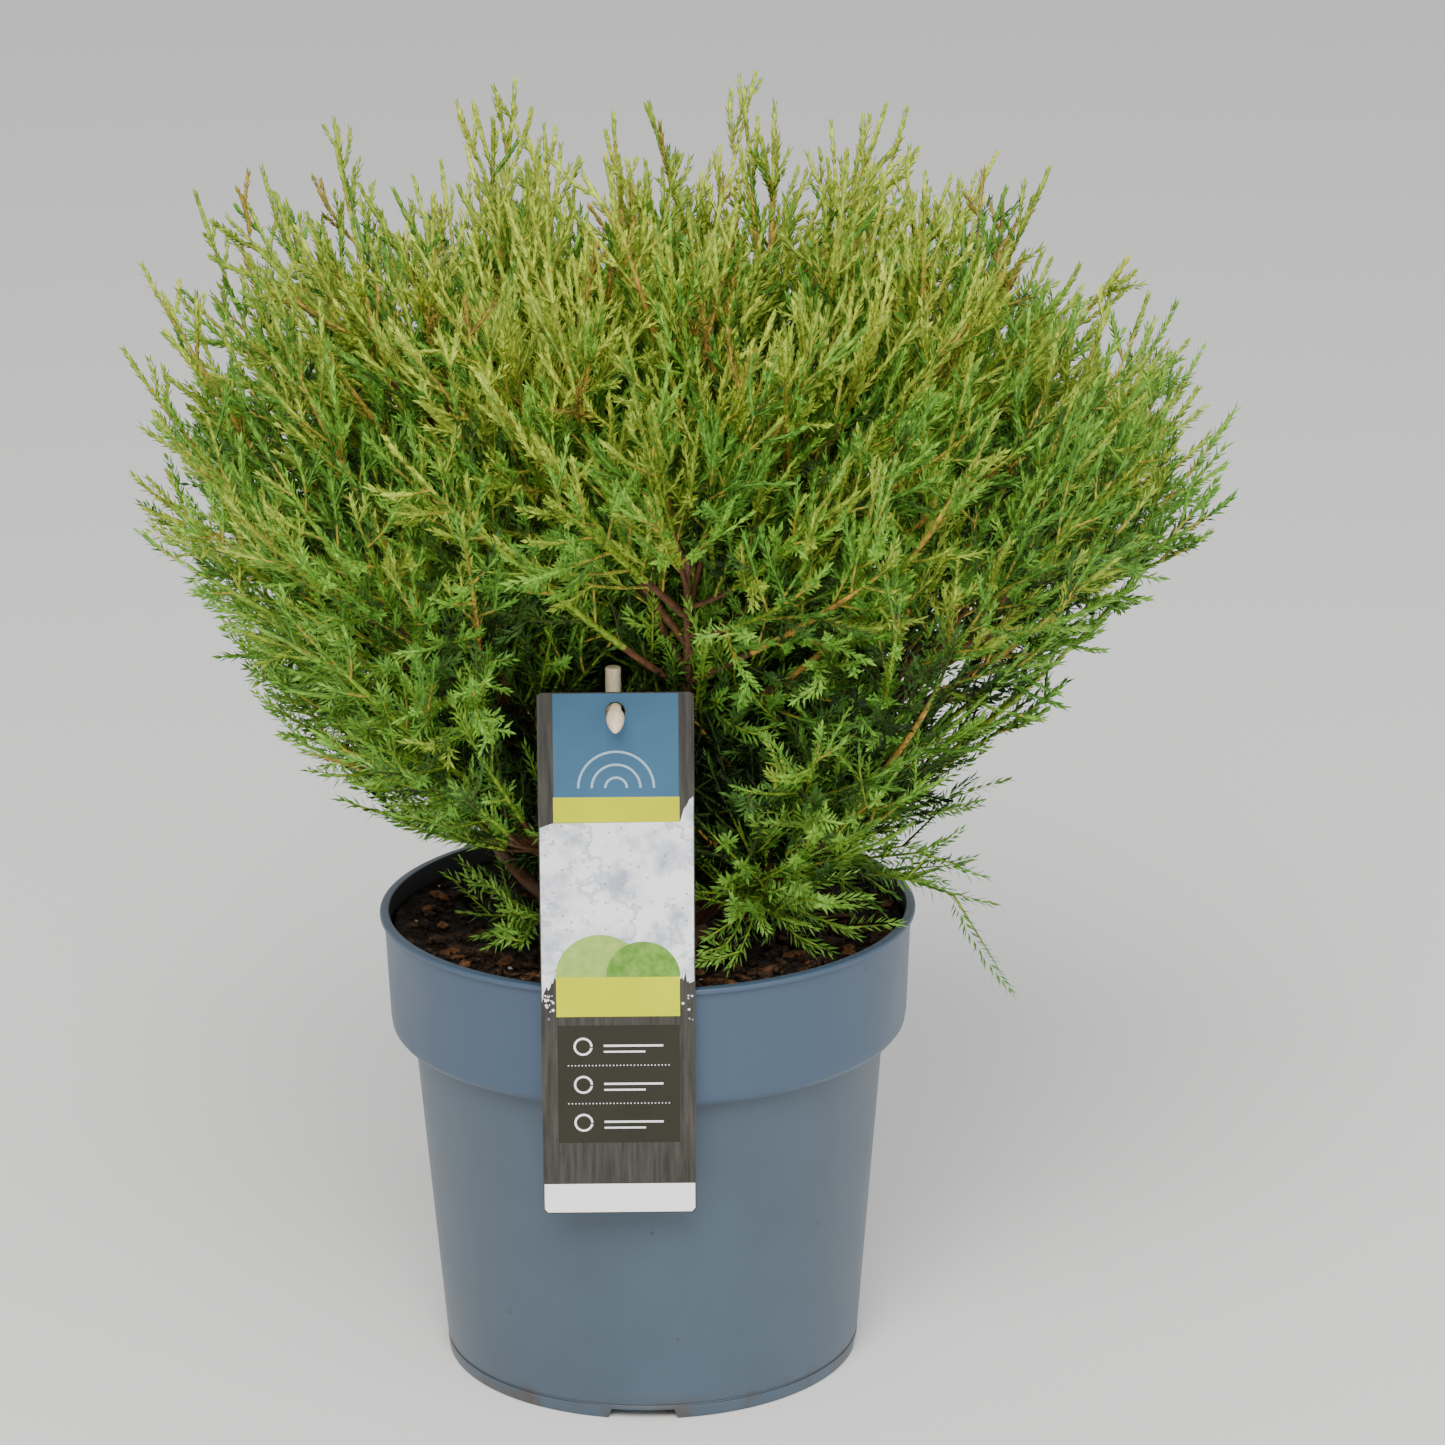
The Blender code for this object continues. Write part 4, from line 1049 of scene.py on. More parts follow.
def add_limb(bm, path, radius_at, sides, rings, flare, seed):
    """A ring extruded along a path, with ridges of bark that run along it and UVs that follow it."""
    ring = bmesh.ops.create_circle(bm, cap_ends=False, segments=sides, radius=1.0)["verts"]
    edges = list({e for v in ring for e in v.link_edges})
    layers = [ring]
    for _ in range(rings):
        grown = bmesh.ops.extrude_edge_only(bm, edges=edges)["geom"]
        edges = [part for part in grown if isinstance(part, bmesh.types.BMEdge)]
        layers.append([part for part in grown if isinstance(part, bmesh.types.BMVert)])
    uv = bm.loops.layers.uv.verify()
    total = sum((b - a).length for a, b in zip(path, path[1:]))
    round_scale, long_scale = BARK_RIDGES
    fine_scale, fine_share = FINE_RIDGES
    where = {}
    for i, layer in enumerate(layers):
        share = i / rings
        centre, heading = along(path, share)
        if share == 0 and flare:
            heading = UP.copy()
        turn = UP.rotation_difference(heading)
        for v in layer:
            angle = math.atan2(v.co.y, v.co.x)
            around = Vector((math.cos(angle), math.sin(angle), 0))
            spot = around * round_scale + Vector((0, 0, share * total * long_scale + seed))
            ridge = 1 + BARK_DEPTH * noise.noise(spot)
            ridge += BARK_DEPTH * fine_share * noise.noise(spot * fine_scale)
            lobes = 1 + flare_depth(share) * math.cos(FLARE_LOBES * angle) if flare else 1
            where[v] = (angle, share * total)
            v.co = centre + turn @ (around * radius_at(share) * ridge * lobes)
    for face in {f for layer in layers for v in layer for f in v.link_faces}:
        angles = [where[loop.vert][0] for loop in face.loops]
        wraps = max(angles) - min(angles) > math.pi
        for loop in face.loops:
            angle, distance = where[loop.vert]
            if wraps and angle < 0:
                angle += 2 * math.pi
            loop[uv].uv = (angle / (2 * math.pi), distance)
    for layer in (layers[0], layers[-1]):
        bmesh.ops.contextual_create(bm, geom=layer)


class AddLimbs(bpy.types.Operator):
    """Adds the trunk with its root flare, and each bough on through its mass, all with ridges of bark"""

    bl_idname = "arborvitae.add_limbs"
    bl_label = "Add trunk and boughs"

    def execute(self, context):
        material = bark_material(tuple(context.scene.crown_settings.bark))
        bm = bmesh.new()
        add_limb(bm, trunk_path(TRUNK_MESH_POINTS), trunk_radius, TRUNK_SIDES, TRUNK_RINGS, True, 0)
        bmesh.ops.recalc_face_normals(bm, faces=bm.faces)
        show(object_from("bark_trunk", bm, (material,), 50), "bark", "trunk")
        bm = bmesh.new()
        masses = plan_masses()
        for mass in masses:
            entrance = mass["bough"][-1]
            stem = [entrance.lerp(mass["stem_tip"], i / STEM_POINTS) for i in range(1, STEM_POINTS + 1)]
            path = mass["bough"] + stem
            lengths = np.cumsum([0] + [(b - a).length for a, b in zip(path, path[1:])])
            entry = lengths[len(mass["bough"]) - 1] / lengths[-1]
            radii = [r * mass["scale"] for r in (BOUGH_FOOT_RADIUS, BOUGH_TIP_RADIUS, STEM_TIP_RADIUS)]
            seed = mass["seed"] * BARK_SEED_STEP
            add_limb(bm, path, tapering((0, entry, 1), radii), BOUGH_SIDES, BOUGH_RINGS, False, seed)
        side_stem = bend(*SIDE_STEM, SIDE_STEM_POINTS)
        radius_at = tapering(SIDE_STEM_SHARES, SIDE_STEM_RADII)
        add_limb(bm, side_stem, radius_at, BOUGH_SIDES, BOUGH_RINGS, False, SIDE_STEM_SEED)
        bmesh.ops.recalc_face_normals(bm, faces=bm.faces)
        boughs = ["bough_" + mass["name"] for mass in masses]
        show(object_from("bark_boughs", bm, (material,), 50), "bark", *boughs)
        return {"FINISHED"}


# Growth: lines are arrays of three control points each


def unit(vectors):
    return vectors / np.maximum(np.linalg.norm(vectors, axis=-1, keepdims=True), 1e-9)


def between(pair, share):
    return pair[0] + (pair[1] - pair[0]) * share


def places_in_runs(counts):
    """0, 1, 2 and so on through each run of these lengths."""
    return np.arange(counts.sum()) - np.repeat(np.cumsum(counts) - counts, counts)


def on_curve(lines, share):
    """Points and directions on each line at its share."""
    t = np.asarray(share)[..., None]
    a, b, c = lines[..., 0, :], lines[..., 1, :], lines[..., 2, :]
    point = a * (1 - t) ** 2 + b * 2 * t * (1 - t) + c * t**2
    return point, unit((b - a) * (1 - t) + (c - b) * t)


def side_frames(ways):
    across = np.cross(ways, np.array(UP))
    upright = np.linalg.norm(across, axis=-1) < 1e-3
    across[upright] = (1, 0, 0)
    across = unit(across)
    return across, np.cross(across, ways)


def aside_at(ways, turn):
    """The direction across each way, at this turn about it."""
    across, above = side_frames(ways)
    return across * np.cos(turn)[:, None] + above * np.sin(turn)[:, None]


def blocked(points):
    """True in the soil, the pot's wall, the card, the stick and the open view of card and stick."""
    x, y, z = points[..., 0], points[..., 1], points[..., 2]
    radius = np.hypot(x, y)
    outer = LIP_RADIUS + RIM_ROOM
    wall = LIP_RADIUS - LIP_OVERHANG - POT_WALL
    in_soil = (z < SOIL_TOP + SOIL_ROOM + soil_rise(radius)) & (radius < outer)
    in_wall = (radius > wall - RIM_ROOM) & (radius < outer) & (z < POT_HEIGHT + RIM_ROOM / 2)
    front = np.maximum(0, CARD_TOP.y - y)
    beside = (np.abs(x - CARD_TOP.x) < CARD_WIDTH / 2 + CARD_ROOM) & (y < CARD_TOP.y + CARD_ROOM)
    in_view = beside & (z < CARD_TOP.z + CARD_ROOM + CARD_VIEW_RISE * front)
    room = STICK_RADIUS + STICK_ROOM
    top = STICK_TOP.z + STICK_ROOM
    on_stick = (np.hypot(x - STICK_TOP.x, y - STICK_TOP.y) < room) & (z < top)
    before = np.maximum(0, STICK_TOP.y - y)
    over_stick = (np.abs(x - STICK_TOP.x) < room) & (y < STICK_TOP.y) & (z < top + STICK_VIEW_RISE * before)
    return in_soil | in_wall | in_view | on_stick | over_stick


def keep_clear(lines, limit):
    """Shortens lines that touch something or leave their share of the crown, and tells which are left.

    A limit of 0 means that the line has no share of the crown to keep to.
    """
    kept = np.zeros(len(lines), bool)
    root = np.array(CROWN_ROOT)
    free = limit <= 0
    scale = np.where(free, 1.0, limit)[:, None]
    for shrink in SHRINKS:
        tried = lines[:, :1] + (lines - lines[:, :1]) * shrink
        good = ~kept
        for share in CLEAR_SHARES:
            points = on_curve(tried, np.full(len(lines), share))[0]
            good &= ~blocked(points) & (in_crown(root + (points - root) / scale) | free)
        lines = np.where(good[:, None, None], tried, lines)
        kept |= good
    return lines, kept


def crown_height(lines):
    """How high each line ends: 0 at the crown's bottom, 1 at its top."""
    return (lines[:, 2, 2] - CROWN_BOTTOM) / (CROWN_TOP - CROWN_BOTTOM)


def crown_depth(lines):
    """How far inside the crown each line ends: 0 at its reach, 1 at CROWN_ROOT."""
    ray = lines[:, 2] - np.array(CROWN_ROOT)
    return 1 - np.linalg.norm(ray, axis=1) / crown_reach(unit(ray))


def openness_of(lines):
    """1 where the crown is open, low on the plant's right, and 0 elsewhere."""
    (near, far), (high, low) = OPEN_SIDE, OPEN_HEIGHT
    return ramp(lines[:, 2, 0], near, far - near) * ramp(lines[:, 2, 2], high, low - high)


def youth_of(lines, given, rng):
    """0 for threads of pressed scales, at the top and outside, to 1 for needles, low and inside."""
    youth = YOUTH_AT_FOOT - YOUTH_LOST_BY_HEIGHT * crown_height(lines) + YOUTH_BY_DEPTH * crown_depth(lines)
    youth = youth + rng.normal(0, YOUTH_SPREAD, len(lines))
    youth *= 1 - OPEN_YOUTH * openness_of(lines)
    return np.where(given >= 0, 1.0, np.clip(youth, 0, 1))


def spray_colours(lines, light_shift, given, rng):
    """A colour for each line by the painted light at its height and depth in the crown, its twig's shift of
    that light and a little chance.
    """
    count, height, depth = len(lines), crown_height(lines), crown_depth(lines)
    light = LIGHT_AT_FOOT + LIGHT_BY_HEIGHT * height
    light = light - LIGHT_LOST_BY_DEPTH * np.clip(depth - LIGHT_DEPTH, 0, 1)
    light = light + light_shift + rng.normal(0, LIGHT_SPREAD, count)
    deep, green, bright = (light > level for level in LIGHT_LEVELS)
    yellow = rng.random(count) < YELLOW_SPRAYS[0] * height - YELLOW_SPRAYS[1]
    colour = np.full(count, LEAF_INDEX["shaded_sprays"])
    colour[deep] = LEAF_INDEX["deep_sprays"]
    colour[green] = LEAF_INDEX["green_sprays"]
    colour[bright & yellow] = LEAF_INDEX["olive_sprays"]
    colour[bright & ~yellow] = LEAF_INDEX["fresh_sprays"]
    colour[light > LIME_LIGHT[0] - LIME_LIGHT[1] * height] = LEAF_INDEX["lime_sprays"]
    highest, darkest = YOUNG_WITHIN
    young = (height < highest) & (light > darkest) & (rng.random(count) < YOUNG_SPRAYS)
    colour[young] = LEAF_INDEX["young_sprays"]
    lowest, deepest = BRONZE_WITHIN
    bronze = (height > lowest) & (depth < deepest) & (rng.random(count) < BRONZE_SPRAYS)
    colour[bronze] = LEAF_INDEX["bronze_sprays"]
    return np.where(given >= 0, given, colour)


def grow_twigs(mass, rng):
    """Twigs from the mass's stem to its outer face: feet climb the stem and tips are spread evenly."""
    foot = np.array(mass["bough"][-1])
    stem = np.array(mass["stem_tip"]) - foot
    across, above = (np.array(v) for v in side_frame(mass["heading"]))
    wide, high = mass["spread"]
    count = mass["twigs"]
    k = np.arange(count)
    out = np.sqrt((k + 0.35) / count)
    turn = k * GOLDEN_ANGLE + rng.uniform(-TWIG_TURN_SHAKE, TWIG_TURN_SHAKE, count)
    fan = across * (wide * out * np.cos(turn))[:, None] + above * (high * out * np.sin(turn))[:, None]
    heading = unit(np.array(mass["heading"]) + fan)
    ring = mass["name"].split("_")[0]
    long = rng.random(count) < LONG_TWIG_SHARES.get(ring, 0)
    usual = TWIG_LIMITS.get(ring, LONG_TWIG_LIMITS)
    limit = np.where(long, rng.uniform(*LONG_TWIG_LIMITS, count), rng.uniform(*usual, count))
    if mass["look"]:
        limit = np.zeros(count)
        reach = np.full(count, mass["reach"])
    else:
        reach = crown_reach(heading) * limit
    tip = np.array(CROWN_ROOT) + heading * (reach - rng.uniform(*TWIG_TIP_SHORT, count))[:, None]
    climb = k / count if mass["look"] else 1 - k / count
    root = foot + stem * between(TWIG_FEET, climb)[:, None]
    length = np.linalg.norm(tip - root, axis=1)[:, None]
    sway = rng.normal(0, TWIG_SWAY, (count, 3)) * length
    middle = (root + tip) / 2 + sway - np.array(UP) * mass["sweep"] * TWIG_SWEEP * length
    return np.stack((root, middle, tip), axis=1), limit


def grow_inner_twigs(mass, rng):
    """Short twigs on the bough itself, which fill the crown's inside."""
    lines = []
    for k in range(INNER_TWIGS):
        foot, way = along(mass["bough"], 0.12 + 0.88 * (k + rng.random()) / INNER_TWIGS)
        aside = direction(rng.uniform(0, 360), 0)
        heading = (way * 0.35 + aside * 0.85 + UP * rng.uniform(0.1, 0.7)).normalized()
        length = rng.uniform(*INNER_TWIG_LENGTHS)
        lines.append((foot, foot + (way + heading) * length * 0.25, foot + heading * length))
    return np.array(lines), np.full(INNER_TWIGS, LONG_TWIG_LIMITS[0])


def grow_front_twigs(masses, rng):
    """Upright twigs from the front boughs, which close the crown above and beside the card."""
    feet = []
    for mass in masses:
        if mass["heading"].y < FRONT_MASSES_FROM:
            path = mass["bough"] + [mass["stem_tip"]]
            feet += [along(path, share)[0] for share in np.linspace(*FRONT_FEET)]
    lines = []
    for count, across, ahead, up in FRONT_TWIGS:
        for k in range(count):
            x = across[0] + (across[1] - across[0]) * (k + rng.random()) / count
            tip = Vector((x, rng.uniform(*ahead), rng.uniform(*up)))
            below = tip - Vector((rng.normal(0, 0.012), rng.normal(-0.012, 0.006), rng.uniform(0.035, 0.060)))
            foot = min(feet, key=lambda point: (point - below).length)
            middle = foot.lerp(tip, 0.5) + Vector((rng.normal(0, 0.004), -0.006, -0.004))
            lines.append((foot, middle, tip))
    return np.array(lines), np.full(len(lines), LONG_TWIG_LIMITS[1])


def gather_twigs(masses, rng):
    """All twigs that stay clear. Gives their lines, the leaf colours given to them or -1, their limits, and
    whether each stands in front.
    """
    grown = [(*grow_twigs(mass, rng), LEAF_INDEX.get(mass["look"], -1), False) for mass in masses]
    grown += [(*grow_inner_twigs(mass, rng), -1, False) for mass in masses if not mass["look"]]
    grown.append((*grow_front_twigs(masses, rng), -1, True))
    counts = [len(part[0]) for part in grown]
    twigs, limit = (np.concatenate([part[i] for part in grown]) for i in (0, 1))
    given, front = (np.repeat([part[i] for part in grown], counts) for i in (2, 3))
    twigs, kept = keep_clear(twigs, limit)
    kept &= (rng.random(len(twigs)) > OPEN_TWIGS_LOST * openness_of(twigs)) | (given >= 0)
    return twigs[kept], given[kept], limit[kept], front[kept]


def grow_shoots(lines, counts, kind, roll, youth, rng):
    """Shoots on alternate sides of each line; young ones lean out more. Gives each one's parent."""
    openness = openness_of(lines)
    counts = np.ceil(counts * (1 - OPEN_THINNING * openness)).astype(int)
    parent = np.repeat(np.arange(len(lines)), counts)
    order = places_in_runs(counts)
    total = len(parent)
    first, last = kind["shares"]
    step = (last - first) / np.maximum(1, counts[parent])
    share = first + step * (order + rng.uniform(0.1, 0.9, total))
    point, way = on_curve(lines[parent], share)
    out = aside_at(way, roll[parent] + (order % 2) * math.pi + rng.normal(0, SHOOT_TURN_SHAKE, total))
    young = youth[parent]
    lean = np.radians(rng.uniform(*kind["leans"], total) + YOUNG_LEAN * young)[:, None]
    leaving = way * np.cos(lean) + out * np.sin(lean)
    span = (share - first) / (last - first)
    length = between(kind["lengths"], span) * rng.uniform(*SHOOT_LENGTH_SHAKE, total)
    length *= np.where(rng.random(total) < FORK_SHARE, FORK_GAIN, 1.0)
    length *= 1 + OPEN_GAIN * openness[parent]
    length *= 1 + kind["young_gain"] * young
    middle = point + leaving * (length * 0.5)[:, None]
    ending = leaving * 0.55 + way * 0.45 + np.array(UP) * kind["rise"] + rng.normal(0, 0.12, way.shape)
    end = middle + unit(ending) * (length * 0.5)[:, None]
    return np.stack((point, middle, end), axis=1), parent


def grow_tips(twigs, limit, rng):
    """A shoot at each twig's tip that has room for it. Gives each one's twig."""
    end, way = on_curve(twigs, np.full(len(twigs), 1.0))
    length = rng.uniform(*TWIG_TIP_LENGTHS, len(twigs))[:, None]
    tips = (end, end + way * length / 2, end + (way + np.array(UP) * TWIG_TIP_RISE) * length)
    tips, kept = keep_clear(np.stack(tips, axis=1), np.minimum(1.0, limit * TWIG_TIP_GAIN))
    return tips[kept], np.arange(len(twigs))[kept]


def side_shoot_counts(shoots, youth, rng):
    """How many side shoots each shoot bears: fewer at the crown's top, and none deep inside."""
    span = np.linalg.norm(shoots[:, 2] - shoots[:, 0], axis=1)
    counts = (span - SIDE_SHOOTS_FROM) / SIDE_SHOOT_SPACING / (1 + YOUNG_SPACING * youth)
    counts = np.clip(counts.astype(int), 0, SIDE_SHOOTS_MOST)
    counts[crown_depth(shoots) > SIDE_SHOOTS_DEEPEST] = 0
    bare = (crown_height(shoots) > TOP_THINNED_FROM) & (rng.random(len(shoots)) < TOP_THINNING)
    counts[bare] = counts[bare] // 2
    return counts


def tubes(lines, start_radius, end_radius, sides, rings, first=0.0, last=1.0, swelling=None):
    """Slim tubes along the lines, as points and triangles, with a radius for each line.

    They come to a point where they reach the lines' ends.
    """
    count = len(lines)
    pointed = last == 1.0
    angles = np.arange(sides) * 2 * math.pi / sides
    layers = []
    for i in range(rings + 1):
        share = first + (last - first) * i / rings
        point, way = on_curve(lines, np.full(count, share))
        across, above = side_frames(way)
        radius = start_radius + (end_radius - start_radius) * i / rings
        if swelling:
            radius = radius * swelling[i * (len(swelling) - 1) // rings]
        circle = across[:, None] * np.cos(angles)[:, None] + above[:, None] * np.sin(angles)[:, None]
        layer = point[:, None] + circle * radius.reshape(-1, 1, 1)
        layers.append(point[:, None] if pointed and i == rings else layer)
    points = np.concatenate(layers, axis=1)
    triangles = []
    for i in range(rings):
        for j in range(sides):
            a, b = i * sides + j, i * sides + (j + 1) % sides
            if pointed and i == rings - 1:
                triangles.append((a, b, rings * sides))
            else:
                triangles += [(a, b, b + sides), (a, b + sides, a + sides)]
    index = np.array(triangles)[None] + (np.arange(count) * points.shape[1])[:, None, None]
    return points.reshape(-1, 3), index.reshape(-1, 3)


def cores(lines, radii, sides, rings, swelling=None, first=0.0, last=1.0):
    """The stems inside the leaves of shoots, all of one kind."""
    start, end = (np.full(len(lines), radius) for radius in radii)
    return tubes(lines, start, end, sides, rings, first, last, swelling)


def leaves(lines, youth, first, settings, rng, last=1.0, sparse=False):
    """Crossed pairs of leaves along each line, from first to last, as points and triangles of kites."""
    first = np.full(len(lines), first) if np.isscalar(first) else first
    length = sum(np.linalg.norm(lines[:, i + 1] - lines[:, i], axis=1) for i in (0, 1))
    step = between(LEAF_STEPS, youth) * (SPARSE_STEP if sparse else 1)
    pairs = np.maximum(2, (length * (last - first) / step).astype(int))
    owner = np.repeat(np.arange(len(lines)), pairs * 2)
    order = places_in_runs(pairs * 2)
    share = first[owner] + (last - first[owner]) * (order // 2 + 0.5) / pairs[owner]
    point, way = on_curve(lines[owner], share)
    turn = (order % 2) * math.pi + (order // 2 % 2) * math.pi / 2 + rng.normal(0, LEAF_TURN_SHAKE, len(owner))
    turn += (owner * LEAF_TURN_STEP) % math.pi
    out = aside_at(way, turn)
    aside = np.cross(way, out)
    young = youth[owner]
    # Leaves close towards a shoot's end, where the scales grow longer and the needles shorter
    lean = between(LEAF_LEANS, young) * (1 - LEAF_CLOSING * ramp(share, 0.60, 0.35))
    lean = np.radians(lean + rng.normal(0, 2 + 3 * young))[:, None]
    size = 1 + (0.22 * ramp(share, 0.5, 0.4) - 0.08) * (1 - young)
    size -= 0.25 * young * ramp(share, 0.7, 0.3)
    size = size * rng.uniform(1 - LEAF_SIZE_SHAKE, 1 + LEAF_SIZE_SHAKE, len(owner))
    size *= SPARSE_GAIN if sparse else 1
    leaf_length = between((settings.scale_length, settings.needle_length), young) * size
    leaf_width = between((settings.scale_width, settings.needle_width), young) * size
    fold = between(LEAF_FOLD, young) * leaf_width
    growth = way * np.cos(lean) + out * np.sin(lean)
    normal = np.cross(aside, growth)
    base = point + out * between(LEAF_BASES, young)[:, None]
    belly = base + growth * (leaf_length * LEAF_WIDEST)[:, None] - normal * fold[:, None]
    side = aside * (leaf_width / 2)[:, None]
    tip = base + growth * leaf_length[:, None]
    points = np.stack((base, belly + side, tip, belly - side), axis=1)
    index = np.array(((0, 1, 2), (0, 2, 3)))[None] + (np.arange(len(owner)) * 4)[:, None, None]
    return points.reshape(-1, 3), index.reshape(-1, 3)


def in_pieces(points, triangles):
    """Cuts a leaf colour's arrays into pieces of at most LEAF_PIECE leaves of four points each."""
    for start in range(0, len(points) // 4, LEAF_PIECE):
        end = start + LEAF_PIECE
        yield points[start * 4:end * 4], triangles[start * 2:end * 2] - start * 4


def joined(parts):
    """One pair of arrays from several."""
    points, triangles, count = [], [], 0
    for p, t in parts:
        points.append(p)
        triangles.append(t + count)
        count += len(p)
    return np.concatenate(points), np.concatenate(triangles)


class AddCrown(bpy.types.Operator):
    """Adds the crown: twigs on every stem, shoots on the twigs, and leaves in sprays of one colour each"""

    bl_idname = "arborvitae.add_crown"
    bl_label = "Add twigs and leaves"

    def execute(self, context):
        settings = context.scene.crown_settings
        rng = np.random.default_rng(CROWN_SEED)
        masses = plan_masses()
        nodes = ["foliage_" + mass["name"] for mass in masses]
        twigs, given, limit, front = gather_twigs(masses, rng)
        # Each twig's shift of the painted light that picks its colour: a little chance, painted light on the
        # front twigs and painted shade in the open part
        light_shift = rng.normal(0, MOOD_SPREAD, len(twigs)) + FRONT_TWIG_LIGHT * front
        light_shift -= OPEN_SHADE * openness_of(twigs)
        roll = rng.uniform(0, math.pi, len(twigs))
        twig_length = np.linalg.norm(twigs[:, 2] - twigs[:, 0], axis=1)
        counts = (settings.shoots * twig_length / 0.10).astype(int)
        counts = np.clip(counts, SHOOTS_FEWEST, 2 * settings.shoots)
        twig_youth = youth_of(twigs, given, rng)

        # Shoots on the twigs and at their tips
        shoots, parent = grow_shoots(twigs, counts, SHOOT, roll, twig_youth, rng)
        shoots, kept = keep_clear(shoots, limit[parent])
        tips, tip_parent = grow_tips(twigs, limit, rng)
        shoots, parent = np.concatenate((shoots[kept], tips)), np.concatenate((parent[kept], tip_parent))
        colour = spray_colours(shoots, light_shift[parent], given[parent], rng)
        youth = youth_of(shoots, given[parent], rng)

        # Side shoots on the shoots
        counts = side_shoot_counts(shoots, youth, rng)
        roll = rng.uniform(0, math.pi, len(shoots))
        small, small_parent = grow_shoots(shoots, counts, SIDE_SHOOT, roll, youth, rng)
        small, kept = keep_clear(small, limit[parent[small_parent]])
        small, small_parent = small[kept], small_parent[kept]
        small_youth = np.clip(youth[small_parent] + rng.normal(0, 0.05, len(small)), 0, 1)
        small_colour = colour[small_parent]
        small_colour = np.where(rng.random(len(small)) < DARKER_SIDES, DARKER[small_colour], small_colour)
        base_colour = np.where(rng.random(len(shoots)) < DARKER_BASES, DARKER[colour], colour)

        # Twigs are brown at the foot, then amber with pressed leaves, or green
        thickness = np.clip(twig_length / 0.11, 0.55, 1.0)
        thick, thin = (radius * thickness for radius in TWIG_RADII)
        split = between(TWIG_RADII, TWIG_BROWN_SHARE) * thickness
        amber = (twig_length > INNER_TWIG_LENGTHS[1]) & (rng.random(len(twigs)) < AMBER_TWIGS)
        amber_ends, green_ends = (
            tubes(twigs[chosen], split[chosen], thin[chosen], 5, 4, TWIG_BROWN_SHARE)
            for chosen in (amber, ~amber)
        )
        scales = leaves(
            twigs[amber], twig_youth[amber] * 0.3, TWIG_BROWN_SHARE, settings, rng, TWIG_AMBER_SHARE
        )
        brown = tubes(twigs, thick, split, 5, 4, 0, TWIG_BROWN_SHARE)

        # Stems inside the leaves are golden in adult shoots, green in young ones and, in the shade, a darkened
        # copy of the green: painted shade
        every = np.concatenate((shoots, small))
        every_colour = np.concatenate((colour, small_colour))
        short = np.arange(len(every)) >= len(shoots)
        adult = np.concatenate((youth, small_youth)) < ADULT_BELOW
        in_shade = np.isin(every_colour, (LEAF_INDEX["deep_sprays"], LEAF_INDEX["shaded_sprays"]))
        threaded = adult & ~in_shade
        young_stems, shaded_stems = (
            [cores(every[here & ~short], STEM_RADII, 3, 3), cores(every[here & short], STEM_RADII, 3, 1)]
            for here in (~adult & ~in_shade, in_shade)
        )
        golden = cores(every[threaded & ~short], STEM_RADII, 4, 3, last=THREAD_START)
        for name, label, tone, roughness, slot, parts in (
            ("brown_twigs", "red-brown twigs", settings.bark, 0.75, "bark", [brown]),
            ("amber_twigs", "amber twigs", settings.amber, 0.65, "bark", [amber_ends, scales]),
            ("golden_stems", "golden stems", settings.golden, 0.6, "foliage", [golden]),
            ("green_stems", "yellow-green stems", settings.stem, 0.6, "foliage", [green_ends, *young_stems]),
            ("shaded_stems", "shaded stems", shade(settings.stem, 0.22), 0.7, "foliage", shaded_stems),
        ):
            look = leaf_material(label, tuple(tone), roughness)
            show(object_from_arrays(name, *joined(parts), look), slot, *nodes)

        # Leaves by the colour of their spray, and the threads that carry the pressed ones
        twig_colour = spray_colours(twigs, light_shift, given, rng)
        for number, (name, base) in enumerate(LEAF_COLOURS):
            mine, my_base, my_small, my_twigs = (
                chosen == number for chosen in (colour, base_colour, small_colour, twig_colour)
            )
            twig_start = np.where(amber[my_twigs], TWIG_AMBER_SHARE, TWIG_BROWN_SHARE)
            sparse = name == "shaded_sprays"
            points, triangles = joined([
                leaves(shoots[my_base], youth[my_base], 0.06, settings, rng, 0.5, sparse),
                leaves(shoots[mine], youth[mine], 0.5, settings, rng, 1.0, sparse),
                leaves(small[my_small], small_youth[my_small], 0.04, settings, rng, 1.0, sparse),
                leaves(twigs[my_twigs], twig_youth[my_twigs], twig_start, settings, rng, 1.0, sparse),
            ])
            look = leaf_material(name, base)
            here = threaded & (every_colour == number)
            if here.any():
                threads = joined([
                    cores(every[here & ~short], THREAD_RADII, 4, 3, THREAD_SWELLING, THREAD_START),
                    cores(every[here & short], THREAD_RADII, 3, 2, THREAD_SWELLING),
                ])
                label = name.replace("sprays", "threads")
                show(object_from_arrays(label, *threads, look), "foliage", *nodes)
            for part, arrays in enumerate(in_pieces(points, triangles)):
                label = f"{name}_{part + 1}" if part else name
                show(object_from_arrays(label, *arrays, look), "foliage", *nodes)
        return {"FINISHED"}


# Card and stick


def card_place():
    return Matrix.Translation(CARD_TOP) @ Matrix.Rotation(CARD_TURN, 4, "Y")


def card_hole_centre():
    return card_place() @ Vector((0, 0, -CARD_HOLE_DROP))


def print_plate(bm, layer, outline):
    """A printed shape of the card: an outline of (x, z) below the card's top, a hair proud of its front."""
    face = bm.faces.new([bm.verts.new((x, 0, z)) for x, z in outline])
    face.normal_update()
    if face.normal.y > 0:
        face.normal_flip()
    back = list(face.verts)
    grown = bmesh.ops.extrude_face_region(bm, geom=[face])["geom"]
    moved = [part for part in grown if isinstance(part, bmesh.types.BMVert)]
    bmesh.ops.translate(bm, verts=moved, vec=(0, -PRINT_STEP, 0))
    front = -CARD_THICKNESS / 2 - PRINT_STEP * layer
    bmesh.ops.translate(bm, verts=back + moved, vec=(0, front, 0))
    bmesh.ops.transform(bm, matrix=card_place(), verts=back + moved)


def box_outline(left, right, top, bottom):
    return [(left, -top), (left, -bottom), (right, -bottom), (right, -top)]


